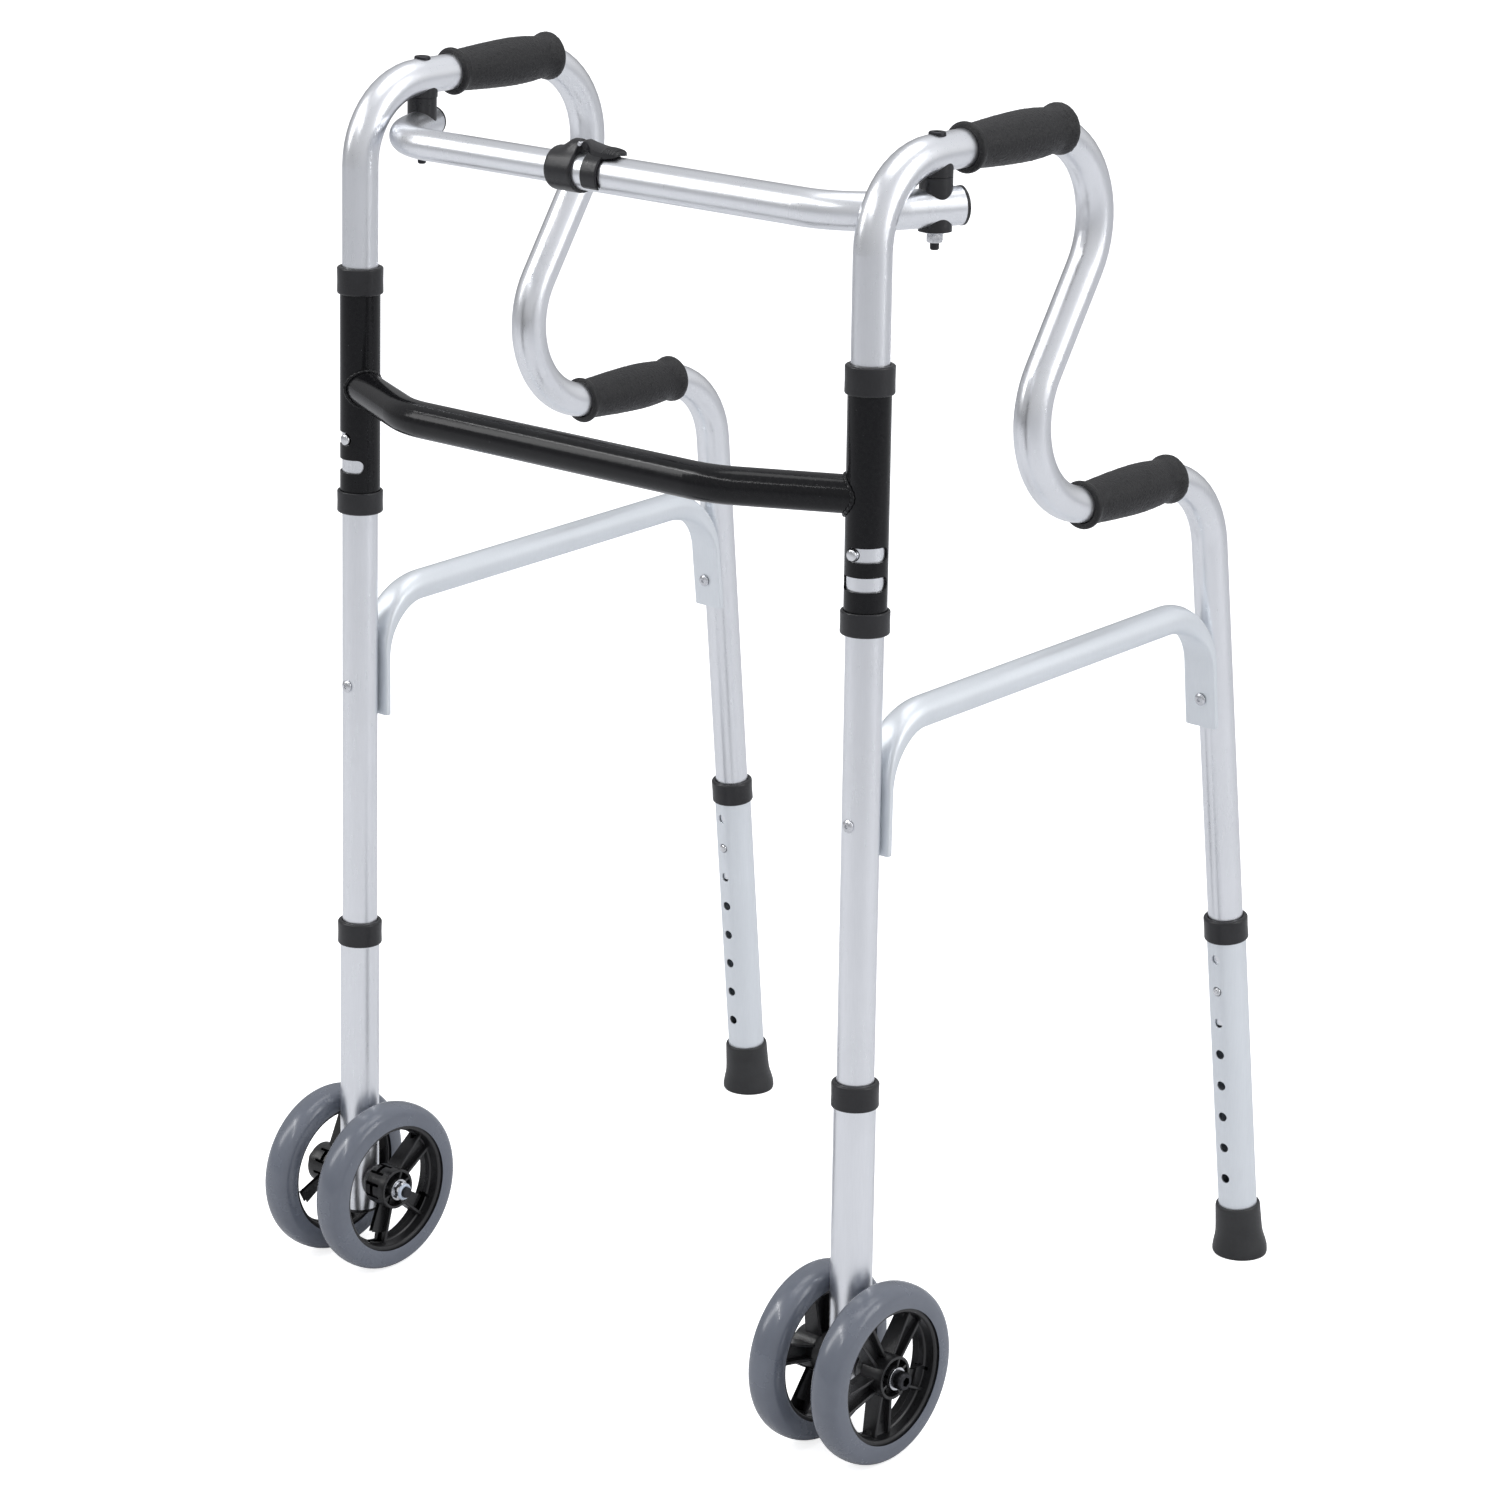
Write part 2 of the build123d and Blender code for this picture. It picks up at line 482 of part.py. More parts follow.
for side, nm in ((1, "outer"), (-1, "inner")):
    rim, tyre = wheel(side)
    both(nm + "_wheel_rim", rim)
    both(nm + "_wheel_tyre", tyre)

# ---------------------------------------------------------------- rear leg extension
G0, G1 = rear_at(9.0), rear_at(270.0)
rext = tube(G0, G1, OUT_R, OUT_RI)
for k in range(-1, 7):
    p = rear_at(REAR_BTN_Z) - RD * (PITCH * k)
    rext -= rod(p, p + Vector(0, -30, 0), HOLE_R)
both("rear_extension", rext)
rcol = revolve_on(G1, RD, [(-14.5, OUT_R + 0.05), (-14.5, 15.7), (-13.8, 16.2), (2.4, 16.2), (3.3, 15.2), (3.3, 13.0), (0.1, 13.0), (0.1, OUT_R + 0.05)])
both("rear_collar", rcol)
# rubber ferrule: flared foot, cut flat on the floor
tip = revolve_on(rear_at(0), RD, [(-6, 0), (-6, 20.6), (5.5, 20.4), (9.0, 19.4), (14.0, 17.6), (20, 17.1), (39.5, 16.7), (41.2, 15.9), (41.2, OUT_R + 0.05), (8.9, OUT_R + 0.05), (8.9, 0)])
tip -= Pos(rear_at(0).X, rear_at(0).Y, -20) * Box(80, 80, 40)
both("rear_tip", tip)
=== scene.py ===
import json
import math
import random
import bmesh
import bpy
import numpy as np
from mathutils import Matrix, Vector, noise


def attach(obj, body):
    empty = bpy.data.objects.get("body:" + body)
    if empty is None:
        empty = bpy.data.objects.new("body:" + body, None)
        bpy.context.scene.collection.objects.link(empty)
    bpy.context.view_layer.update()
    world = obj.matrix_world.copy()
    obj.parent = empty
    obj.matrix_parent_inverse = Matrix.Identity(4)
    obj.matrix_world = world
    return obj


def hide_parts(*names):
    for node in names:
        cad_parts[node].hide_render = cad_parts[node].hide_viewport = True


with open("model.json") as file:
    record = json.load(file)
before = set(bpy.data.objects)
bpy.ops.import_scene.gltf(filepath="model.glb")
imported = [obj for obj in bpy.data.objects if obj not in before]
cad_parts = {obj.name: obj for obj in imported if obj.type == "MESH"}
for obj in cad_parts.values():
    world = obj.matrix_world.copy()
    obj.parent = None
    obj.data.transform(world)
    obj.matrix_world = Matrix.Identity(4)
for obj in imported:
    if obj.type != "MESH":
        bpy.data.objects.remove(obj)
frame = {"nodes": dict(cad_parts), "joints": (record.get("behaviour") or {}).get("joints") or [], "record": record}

random.seed(7)
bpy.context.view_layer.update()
MM = 0.001
NODES = frame["nodes"]
JOINTS = {j["name"]: j for j in frame["joints"]}
SC = bpy.context.scene

# ------------------------------------------------------------------ material helpers


class Mat:
    """A small builder for node materials."""

    def __init__(self, name):
        self.m = bpy.data.materials.new(name)
        self.m.use_nodes = True
        self.nt = self.m.node_tree
        self.nt.nodes.clear()
        self.out = self.nt.nodes.new("ShaderNodeOutputMaterial")
        self.b = self.nt.nodes.new("ShaderNodeBsdfPrincipled")
        self.nt.links.new(self.b.outputs[0], self.out.inputs[0])
        self.co = self.nt.nodes.new("ShaderNodeTexCoord").outputs["Object"]

    def node(self, kind, **kw):
        n = self.nt.nodes.new(kind)
        for k, v in kw.items():
            setattr(n, k, v)
        return n

    def link(self, a, b):
        self.nt.links.new(a, b)

    def mapping(self, scale, src=None, loc=(0, 0, 0), rot=(0, 0, 0)):
        n = self.node("ShaderNodeMapping")
        n.inputs["Scale"].default_value = scale
        n.inputs["Location"].default_value = loc
        n.inputs["Rotation"].default_value = rot
        self.link(src or self.co, n.inputs["Vector"])
        return n.outputs[0]

    def noise(self, scale, detail=2.0, rough=0.5, vec=None, dist=0.0):
        n = self.node("ShaderNodeTexNoise")
        n.inputs["Scale"].default_value = scale
        n.inputs["Detail"].default_value = detail
        n.inputs["Roughness"].default_value = rough
        n.inputs["Distortion"].default_value = dist
        self.link(vec or self.co, n.inputs["Vector"])
        return n.outputs["Fac"]

    def voronoi(self, scale, feature="F1", vec=None, rand=1.0):
        n = self.node("ShaderNodeTexVoronoi", feature=feature)
        n.inputs["Scale"].default_value = scale
        n.inputs["Randomness"].default_value = rand
        self.link(vec or self.co, n.inputs["Vector"])
        return n.outputs["Distance"]

    def ramp(self, src, stops, interp="LINEAR"):
        n = self.node("ShaderNodeValToRGB")
        n.color_ramp.interpolation = interp
        el = n.color_ramp.elements
        while len(el) < len(stops):
            el.new(0.5)
        for e, (p, c) in zip(el, stops):
            e.position = p
            e.color = tuple(c) + (1,) if len(c) == 3 else tuple(c)
        self.link(src, n.inputs[0])
        return n.outputs[0]

    def rng(self, src, a, b, c, d):
        n = self.node("ShaderNodeMapRange")
        n.clamp = True
        for k, v in zip(("From Min", "From Max", "To Min", "To Max"), (a, b, c, d)):
            n.inputs[k].default_value = v
        self.link(src, n.inputs["Value"])
        return n.outputs["Result"]

    def math(self, op, a, b=None, c=None):
        n = self.node("ShaderNodeMath", operation=op)
        for i, v in enumerate((a, b, c)):
            if v is None:
                continue
            if isinstance(v, (int, float)):
                n.inputs[i].default_value = v
            else:
                self.link(v, n.inputs[i])
        return n.outputs[0]

    def mix(self, fac, a, b, blend="MIX"):
        n = self.node("ShaderNodeMix", data_type="RGBA", blend_type=blend)
        if isinstance(fac, (int, float)):
            n.inputs["Factor"].default_value = fac
        else:
            self.link(fac, n.inputs["Factor"])
        for key, v in (("A", a), ("B", b)):
            s = [i for i in n.inputs if i.name == key and i.type == "RGBA"][0]
            if isinstance(v, (tuple, list)):
                s.default_value = tuple(v) + (1,) if len(v) == 3 else tuple(v)
            else:
                self.link(v, s)
        return [o for o in n.outputs if o.type == "RGBA"][0]

    def bump(self, height, strength=0.2, dist=0.0005, normal=None):
        n = self.node("ShaderNodeBump")
        n.inputs["Strength"].default_value = strength
        n.inputs["Distance"].default_value = dist
        self.link(height, n.inputs["Height"])
        if normal is not None:
            self.link(normal, n.inputs["Normal"])
        return n.outputs[0]

    def set(self, **kw):
        for k, v in kw.items():
            s = self.b.inputs[k.replace("_", " ")]
            if isinstance(v, (int, float)):
                s.default_value = v
            elif isinstance(v, (tuple, list)):
                s.default_value = tuple(v) + (1,) if len(v) == 3 else tuple(v)
            else:
                self.link(v, s)
        return self


def wear_and_dust(m, base, edge, amount=0.5, scale=90.0):
    """Slight lightening in fine scratches."""
    n1 = m.noise(scale, 6.0, 0.65, vec=m.mapping((1.0, 1.0, 0.12)))
    f = m.rng(n1, 0.62, 0.74, 0.0, amount)
    return m.mix(f, base, edge)


def metal_tube(name, col, rough, grain=0.03, metallic=1.0, stretch=(1, 1, 0.06), var=0.03):
    """Drawn and anodised aluminium: streaks along the tube, soft mottling, faint scuffs."""
    m = Mat(name)
    streak = m.noise(900.0, 3.0, 0.6, vec=m.mapping(stretch))
    cloud = m.noise(14.0, 4.0, 0.55)
    fine = m.noise(2600.0, 2.0, 0.5)
    scuff = m.noise(60.0, 8.0, 0.72, vec=m.mapping((1.6, 0.5, 0.35), rot=(0.3, 0.2, 0.5)))
    lo = tuple(c * (1 - var) for c in col)
    hi = tuple(min(1.0, c * (1 + var * 0.7)) for c in col)
    c1 = m.mix(m.rng(cloud, 0.3, 0.7, 0, 1), lo, hi)
    c2 = m.mix(m.rng(streak, 0.35, 0.65, 0, 0.28), c1, tuple(c * 0.93 for c in col))
    c3 = m.mix(m.rng(scuff, 0.68, 0.78, 0, 0.12), c2, tuple(c * 0.86 for c in col))
    r = m.math("ADD", m.rng(streak, 0.3, 0.7, rough - grain, rough + grain), m.rng(cloud, 0.3, 0.7, -0.012, 0.012))
    r = m.math("ADD", r, m.rng(scuff, 0.68, 0.80, 0.0, 0.05))
    bm = m.bump(m.math("ADD", m.math("MULTIPLY", streak, 0.6), m.math("MULTIPLY", fine, 0.4)), 0.018, 0.0001)
    m.set(Base_Color=c3, Roughness=r, Metallic=metallic, Normal=bm, IOR=1.45)
    return m.m


def gloss_paint():
    m = Mat("gloss_black_powder_coat")
    peel = m.noise(420.0, 2.0, 0.5)
    speck = m.voronoi(330.0)
    gate = m.noise(70.0, 2.0, 0.5)
    scr = m.noise(55.0, 9.0, 0.75, vec=m.mapping((1.2, 1.2, 0.2), rot=(0.1, 0.4, 0.2)))
    sp = m.math("MULTIPLY", m.rng(speck, 0.06, 0.10, 1.0, 0.0), m.rng(gate, 0.60, 0.66, 0.0, 1.0))
    c = m.mix(m.rng(peel, 0.3, 0.7, 0, 1), (0.004, 0.004, 0.005), (0.008, 0.008, 0.009))
    c = m.mix(m.rng(scr, 0.68, 0.76, 0.0, 0.45), c, (0.08, 0.08, 0.085))
    c = m.mix(m.math("MULTIPLY", sp, 0.5), c, (0.35, 0.35, 0.36))
    r = m.math("ADD", m.rng(peel, 0.3, 0.7, 0.13, 0.19), m.rng(scr, 0.66, 0.76, 0.0, 0.25))
    m.set(Base_Color=c, Roughness=r, Normal=m.bump(peel, 0.10, 0.0004), IOR=1.33)
    return m.m


def plastic(name, col, rough, tex=700.0, strength=0.16, coat=0.0, var=0.25):
    m = Mat(name)
    n = m.noise(tex, 3.0, 0.6)
    big = m.noise(40.0, 4.0, 0.6)
    scr = m.noise(85.0, 9.0, 0.75, vec=m.mapping((0.5, 1.4, 0.6), rot=(0.6, 0.3, 0.1)))
    c = m.mix(m.rng(big, 0.3, 0.7, 0, 1), tuple(v * (1 - var) for v in col), tuple(v * (1 + var) for v in col))
    c = m.mix(m.rng(scr, 0.67, 0.77, 0, 0.4), c, tuple(min(1, v * 2.4 + 0.02) for v in col))
    r = m.math("ADD", m.rng(n, 0.3, 0.7, rough - 0.06, rough + 0.06), m.rng(big, 0.3, 0.7, -0.04, 0.04))
    m.set(Base_Color=c, Roughness=r, Normal=m.bump(n, strength, 0.0003), IOR=1.48)
    m.b.inputs["Coat Weight"].default_value = coat
    m.b.inputs["Coat Roughness"].default_value = 0.2
    return m.m


def grip_material():
    m = Mat("stippled_grip_vinyl")
    st = m.voronoi(640.0, vec=m.mapping((1, 1, 1)))
    st2 = m.noise(1500.0, 3.0, 0.6)
    big = m.noise(45.0, 3.0, 0.6)
    crest = m.rng(st, 0.05, 0.32, 1.0, 0.0)
    c = m.mix(m.rng(big, 0.3, 0.7, 0, 1), (0.006, 0.006, 0.007), (0.011, 0.011, 0.012))
    # painted highlight: the stipple crests get a lighter base colour standing in for their glossy glints; the lower
    # roughness and the bump on the crests are real
    c = m.mix(m.math("MULTIPLY", crest, 0.45), c, (0.05, 0.05, 0.054))
    r = m.math("SUBTRACT", m.rng(big, 0.3, 0.7, 0.36, 0.46), m.math("MULTIPLY", crest, 0.18))
    h = m.math("ADD", crest, m.math("MULTIPLY", st2, 0.5))
    m.set(Base_Color=c, Roughness=r, Normal=m.bump(h, 0.8, 0.0009), IOR=1.45)
    return m.m


def tyre_material():
    m = Mat("grey_polyurethane_tyre")
    big = m.noise(30.0, 5.0, 0.6)
    fine = m.noise(1100.0, 2.0, 0.5)
    scr = m.noise(120.0, 9.0, 0.78, vec=m.mapping((0.25, 1.0, 1.0)))
    dust = m.noise(160.0, 6.0, 0.7)
    c = m.mix(m.rng(big, 0.3, 0.7, 0, 1), (0.128, 0.142, 0.175), (0.146, 0.162, 0.198))
    c = m.mix(m.rng(scr, 0.68, 0.80, 0, 0.18), c, (0.24, 0.26, 0.30))
    c = m.mix(m.rng(dust, 0.64, 0.76, 0, 0.10), c, (0.10, 0.11, 0.13))
    r = m.math("ADD", m.rng(big, 0.3, 0.7, 0.22, 0.30), m.rng(scr, 0.64, 0.78, 0.0, 0.2))
    m.set(Base_Color=c, Roughness=r, Normal=m.bump(fine, 0.05, 0.0003), IOR=1.5)
    m.b.inputs["Coat Weight"].default_value = 0.35
    m.b.inputs["Coat Roughness"].default_value = 0.12
    return m.m


def plated(name, col, rough, metallic=1.0):
    m = Mat(name)
    n = m.noise(240.0, 5.0, 0.65)
    f = m.noise(1800.0, 2.0, 0.5)
    c = m.mix(m.rng(n, 0.35, 0.65, 0, 1), tuple(v * 0.82 for v in col), col)
    m.set(Base_Color=c, Roughness=m.rng(n, 0.3, 0.7, rough - 0.08, rough + 0.1), Metallic=metallic, Normal=m.bump(f, 0.08, 0.0002))
    return m.m


def nylon():
    m = Mat("white_nylon_insert")
    n = m.noise(600.0, 3.0, 0.6)
    m.set(Base_Color=m.mix(m.rng(n, 0.3, 0.7, 0, 1), (0.55, 0.62, 0.74), (0.68, 0.74, 0.84)), Roughness=m.rng(n, 0.3, 0.7, 0.32, 0.42), Normal=m.bump(n, 0.1, 0.0002), IOR=1.5)
    return m.m


MATS = {
    "nylon_insert": nylon(),
    "satin_aluminium": metal_tube("satin_aluminium_tube", (0.83, 0.845, 0.875), 0.30),
    "pale_aluminium": metal_tube("pale_matte_aluminium", (0.80, 0.835, 0.87), 0.44, 0.04, 0.75),
    "gloss_black_paint": gloss_paint(),
    "dark_plastic": plastic("dark_moulded_plastic", (0.013, 0.013, 0.015), 0.34),
    "grip_rubber": grip_material(),
    "tip_rubber": plastic("dark_tip_rubber", (0.022, 0.0225, 0.024), 0.42, 500.0, 0.2),
    "tyre_rubber": tyre_material(),
    "rim_plastic": plastic("black_nylon_rim", (0.012, 0.012, 0.013), 0.33, 600.0, 0.12, 0.1),
    "zinc_steel": plated("bright_zinc_plate", (0.72, 0.73, 0.76), 0.24),
    "black_steel": plated("black_oxide_steel", (0.05, 0.05, 0.055), 0.35),
    "spring_steel": plated("spring_steel", (0.45, 0.45, 0.47), 0.35),
    "button_steel": plated("plated_button", (0.78, 0.79, 0.81), 0.18),
}

SLOT_OF = {s["node"]: s["material_slot"] for s in frame["record"]["subparts"]}
for name, ob in NODES.items():
    ob.data.materials.clear()
    ob.data.materials.append(MATS[SLOT_OF[name]])


# ------------------------------------------------------------------ camera, light and floor
def look(ob, loc, target):
    ob.location = loc
    d = Vector(target) - Vector(loc)
    ob.rotation_euler = d.to_track_quat("-Z", "Y").to_euler()


cam_d = bpy.data.cameras.new("camera")
cam = bpy.data.objects.new("camera", cam_d)
SC.collection.objects.link(cam)
SC.camera = cam
AZ, EL = math.radians(41.790), math.radians(17.587)
cam_d.lens = 4449.26 / 1500.0 * 36.0
cam_d.sensor_width = 36.0
fwd = Vector((-math.sin(AZ) * math.cos(EL), math.cos(AZ) * math.cos(EL), -math.sin(EL)))
rgt = Vector((math.cos(AZ), math.sin(AZ), 0.0))
upv = rgt.cross(fwd)
cam.matrix_world = Matrix((
    (rgt.x, upv.x, -fwd.x, 2.02078),
    (rgt.y, upv.y, -fwd.y, -2.29314),
    (rgt.z, upv.z, -fwd.z, 1.36806),
    (0, 0, 0, 1)))
cam_d.clip_end = 50.0


def area(name, loc, target, size, power, col=(1, 1, 1), shape="RECTANGLE"):
    d = bpy.data.lights.new(name, "AREA")
    d.shape = shape
    d.size, d.size_y = size
    d.energy = power
    d.color = col
    o = bpy.data.objects.new(name, d)
    SC.collection.objects.link(o)
    look(o, loc, target)
    return o


world = bpy.data.worlds.new("studio")
SC.world = world
world.use_nodes = True
wn = world.node_tree
wn.nodes.clear()
wo = wn.nodes.new("ShaderNodeOutputWorld")
bg = wn.nodes.new("ShaderNodeBackground")
tc = wn.nodes.new("ShaderNodeTexCoord")
sp = wn.nodes.new("ShaderNodeSeparateXYZ")
rp = wn.nodes.new("ShaderNodeValToRGB")
mr = wn.nodes.new("ShaderNodeMapRange")
wn.links.new(tc.outputs["Generated"], sp.inputs[0])
wn.links.new(sp.outputs["Z"], mr.inputs["Value"])
mr.inputs["From Min"].default_value = -1.0
mr.inputs["From Max"].default_value = 1.0
wn.links.new(mr.outputs[0], rp.inputs[0])
e = rp.color_ramp.elements
e[0].position, e[0].color = 0.0, (0.78, 0.79, 0.81, 1)
e[1].position, e[1].color = 1.0, (0.80, 0.81, 0.84, 1)
for p, c in ((0.40, 0.72), (0.50, 0.60), (0.62, 0.74)):
    k = e.new(p)
    k.color = (c, c * 1.008, c * 1.03, 1)
# a darker wall behind the object: tubes get a grey line at their edges
vm = wn.nodes.new("ShaderNodeVectorMath")
vm.operation = "DOT_PRODUCT"
wn.links.new(tc.outputs["Generated"], vm.inputs[0])
vm.inputs[1].default_value = tuple(fwd)
m2 = wn.nodes.new("ShaderNodeMapRange")
m2.inputs["From Min"].default_value = 0.45
m2.inputs["From Max"].default_value = 0.95
m2.inputs["To Min"].default_value = 1.0
m2.inputs["To Max"].default_value = 0.45
wn.links.new(vm.outputs["Value"], m2.inputs["Value"])
mu = wn.nodes.new("ShaderNodeMath")
mu.operation = "MULTIPLY"
wn.links.new(m2.outputs[0], mu.inputs[0])
# brighter to the right of the object than to its left
v2 = wn.nodes.new("ShaderNodeVectorMath")
v2.operation = "DOT_PRODUCT"
wn.links.new(tc.outputs["Generated"], v2.inputs[0])
v2.inputs[1].default_value = tuple(rgt)
m3 = wn.nodes.new("ShaderNodeMapRange")
m3.inputs["From Min"].default_value = -0.9
m3.inputs["From Max"].default_value = 0.7
m3.inputs["To Min"].default_value = 0.66
m3.inputs["To Max"].default_value = 1.06
wn.links.new(v2.outputs["Value"], m3.inputs["Value"])
wn.links.new(m3.outputs[0], mu.inputs[1])
bg.inputs["Strength"].default_value = 0.95
wn.links.new(mu.outputs[0], bg.inputs["Strength"])
bg2 = wn.nodes.new("ShaderNodeBackground")
bg2.inputs["Color"].default_value = (1, 1, 1, 1)
bg2.inputs["Strength"].default_value = 1.02
lp = wn.nodes.new("ShaderNodeLightPath")
mx = wn.nodes.new("ShaderNodeMixShader")
wn.links.new(rp.outputs[0], bg.inputs[0])
wn.links.new(lp.outputs["Is Camera Ray"], mx.inputs[0])
wn.links.new(bg.outputs[0], mx.inputs[1])
wn.links.new(bg2.outputs[0], mx.inputs[2])
wn.links.new(mx.outputs[0], wo.inputs[0])

area("key_left", (-2.4, -2.2, 2.6), (0, 0, 0.45), (0.8, 2.4), 24.0)
area("fill_right", (2.9, 0.6, 1.9), (0, 0, 0.5), (0.7, 2.2), 12.0)
area("top", (0.0, 0.2, 3.2), (0, 0, 0.3), (1.8, 1.8), 20.0)

strip = area("strip", (-0.9, -1.9, 2.6), (0, -0.2, 0.6), (3.0, 0.10), 15.0)
strip2 = area("strip_right", (2.2, 0.9, 1.6), (0.1, -0.1, 0.6), (0.10, 2.4), 6.0)
floor_me = bpy.data.meshes.new("floor")
bm = bmesh.new()
bmesh.ops.create_grid(bm, x_segments=2, y_segments=2, size=12.0)
bm.to_mesh(floor_me)
bm.free()
floor = bpy.data.objects.new("floor", floor_me)
SC.collection.objects.link(floor)
fm = Mat("pale_floor")
fm.set(Base_Color=(0.90, 0.90, 0.905), Roughness=0.6, IOR=1.3, Emission_Color=(1.0, 1.0, 1.0))
fm.b.inputs["Emission Strength"].default_value = 0.75
fd = fm.node("ShaderNodeBsdfDiffuse")
fd.inputs["Color"].default_value = (0.72, 0.725, 0.74, 1)
fl_ = fm.node("ShaderNodeLightPath")
fx = fm.node("ShaderNodeMixShader")
fm.link(fl_.outputs["Is Camera Ray"], fx.inputs[0])
fm.link(fd.outputs[0], fx.inputs[1])
fm.link(fm.b.outputs[0], fx.inputs[2])
fm.link(fx.outputs[0], fm.out.inputs[0])
floor_me.materials.append(fm.m)
SC.view_settings.view_transform = "Standard"

# ------------------------------------------------------------------ mesh helpers (millimetres)
YO = -203.0
TUBE_R, OUT_R, WHEEL_R = 12.7, 14.3, 63.5
TOP_Z, LOW_Z, BZ, BAR_Y = 874.5, 613.5, 840.0, 31.0 - 203.0


def A(*v):
    return np.array(v, dtype=float)


def front_at(z):
    return A(240.8 - 0.0082 * z, 1.1 + YO + 0.0292 * z, z)


def rear_at(z):
    return A(247.4 - 0.0187 * z, 446.0 + YO - 0.0954 * z, z)


def unit(v):
    return v / np.linalg.norm(v)


FD = unit(front_at(1000) - front_at(0))
RD = unit(rear_at(1000) - rear_at(0))


def frame_of(d):
    d = unit(A(*d))
    ref = A(1, 0, 0) if abs(d[0]) < 0.9 else A(0, 0, 1)
    x = unit(ref - d * ref.dot(d))
    return x, np.cross(d, x), d


def fillet(prof, r, n=4):
    """Rounds the corners of a closed (t, radius) profile; points on the axis stay sharp."""
    out = []
    k = len(prof)
    for i, p in enumerate(prof):
        p = A(*p)
        a, b = A(*prof[i - 1]), A(*prof[(i + 1) % k])
        if p[1] <= 1e-6:
            out.append(p)
            continue
        da, db = a - p, b - p
        la, lb = np.linalg.norm(da), np.linalg.norm(db)
        c = min(r, la * 0.45, lb * 0.45)
        if c < 0.03 or np.dot(da / la, db / lb) < -0.985:
            out.append(p)
            continue
        s, e = p + da / la * c, p + db / lb * c
        for j in range(n + 1):
            t = j / n
            out.append((1 - t) ** 2 * s + 2 * t * (1 - t) * p + t * t * e)
    return out


def rev(p, d, prof, seg=96, r=0.0, wob=None):
    """Closed mesh of revolution about the line p + t d."""
    if r:
        prof = fillet(prof, r)
    x, y, d = frame_of(d)
    p = A(*p)
    V, rings = [], []
    for t, rad in prof:
        if rad <= 1e-6:
            rings.append([len(V)])
            V.append(p + d * t)
        else:
            rings.append(list(range(len(V), len(V) + seg)))
            for i in range(seg):
                a = 2 * math.pi * i / seg
                rr = rad + (wob(t, a) if wob else 0.0)
                V.append(p + d * t + (x * math.cos(a) + y * math.sin(a)) * rr)
    F = []
    n = len(rings)
    for i in range(n):
        a, b = rings[i], rings[(i + 1) % n]
        if len(a) == 1 and len(b) == 1:
            continue
        for j in range(seg):
            k = (j + 1) % seg
            if len(a) == 1:
                F.append((a[0], b[j], b[k]))
            elif len(b) == 1:
                F.append((a[j], b[0], a[k]))
            else:
                F.append((a[j], b[j], b[k], a[k]))
    return np.array(V), F


def loft(secs):
    """Closed mesh through sections of equal point count."""
    n = len(secs[0])
    V = [v for s in secs for v in s]
    F = []
    for i in range(len(secs) - 1):
        for j in range(n):
            k = (j + 1) % n
            F.append((i * n + j, i * n + k, (i + 1) * n + k, (i + 1) * n + j))
    F.append(tuple(range(n))[::-1])
    F.append(tuple((len(secs) - 1) * n + j for j in range(n)))
    return np.array(V), F


def join(parts):
    V, F, o = [], [], 0
    for v, f in parts:
        V.append(v)
        F += [tuple(i + o for i in q) for q in f]
        o += len(v)
    return np.vstack(V), F


def mesh_of(name, V, F, mirror=False):
    V = np.array(V, dtype=float) * MM
    if mirror:
        V = V * A(-1, 1, 1)
    me = bpy.data.meshes.new(name)
    me.from_pydata([tuple(v) for v in V], [], [tuple(f) for f in F])
    b = bmesh.new()
    b.from_mesh(me)
    bmesh.ops.recalc_face_normals(b, faces=b.faces)
    big = [f for f in b.faces if len(f.verts) > 4]
    if big:
        bmesh.ops.triangulate(b, faces=big)
    b.to_mesh(me)
    b.free()
    return me


SLOT_AS = {"nylon_insert": "zinc_steel"}


def piece(name, geo, slot, body, replaces=(), mirror=False, sharp=38.0):
    me = mesh_of(name, geo[0], geo[1], mirror) if not isinstance(geo, bpy.types.Mesh) else geo
    me.name = name
    me.shade_smooth()
    me.set_sharp_from_angle(angle=math.radians(sharp))
    ob = bpy.data.objects.new(name, me)
    SC.collection.objects.link(ob)
    me.materials.append(MATS[slot])
    slot = SLOT_AS.get(slot, slot)
    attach(ob, body)
    if replaces:
        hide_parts(*replaces)
    return ob


def union(name, geos):
    """Exact boolean union of closed meshes, returned as geometry in millimetres."""
    obs = []
    for i, g in enumerate(geos):
        o = bpy.data.objects.new(name + "_t%d" % i, mesh_of(name, g[0], g[1]))
        SC.collection.objects.link(o)
        obs.append(o)
    base = obs[0]
    for o in obs[1:]:
        md = base.modifiers.new("u", "BOOLEAN")
        md.operation = "UNION"
        md.solver = "EXACT"
        md.object = o
    dg = bpy.context.evaluated_depsgraph_get()
    me = bpy.data.meshes.new_from_object(base.evaluated_get(dg))
    V = np.array([tuple(v.co) for v in me.vertices]) / MM
    F = [tuple(q.vertices) for q in me.polygons]
    for o in obs:
        bpy.data.objects.remove(o, do_unlink=True)
    return V, F


def both(name, geo, slot, body, replaces=(), sharp=38.0):
    for side, mir in (("left", False), ("right", True)):
        piece("vis_%s_%s" % (side, name), geo, slot, body.replace("*", side), [r.replace("*", side) for r in replaces], mir, sharp)


# ------------------------------------------------------------------ grips
def bend_drop(y, y0, rad):
    """How far a tube bent down from y0 has dropped at y."""
    u = max(0.0, y - y0)
    return rad - math.sqrt(max(rad * rad - u * u, 1e-6)), math.asin(min(0.95, u / rad))


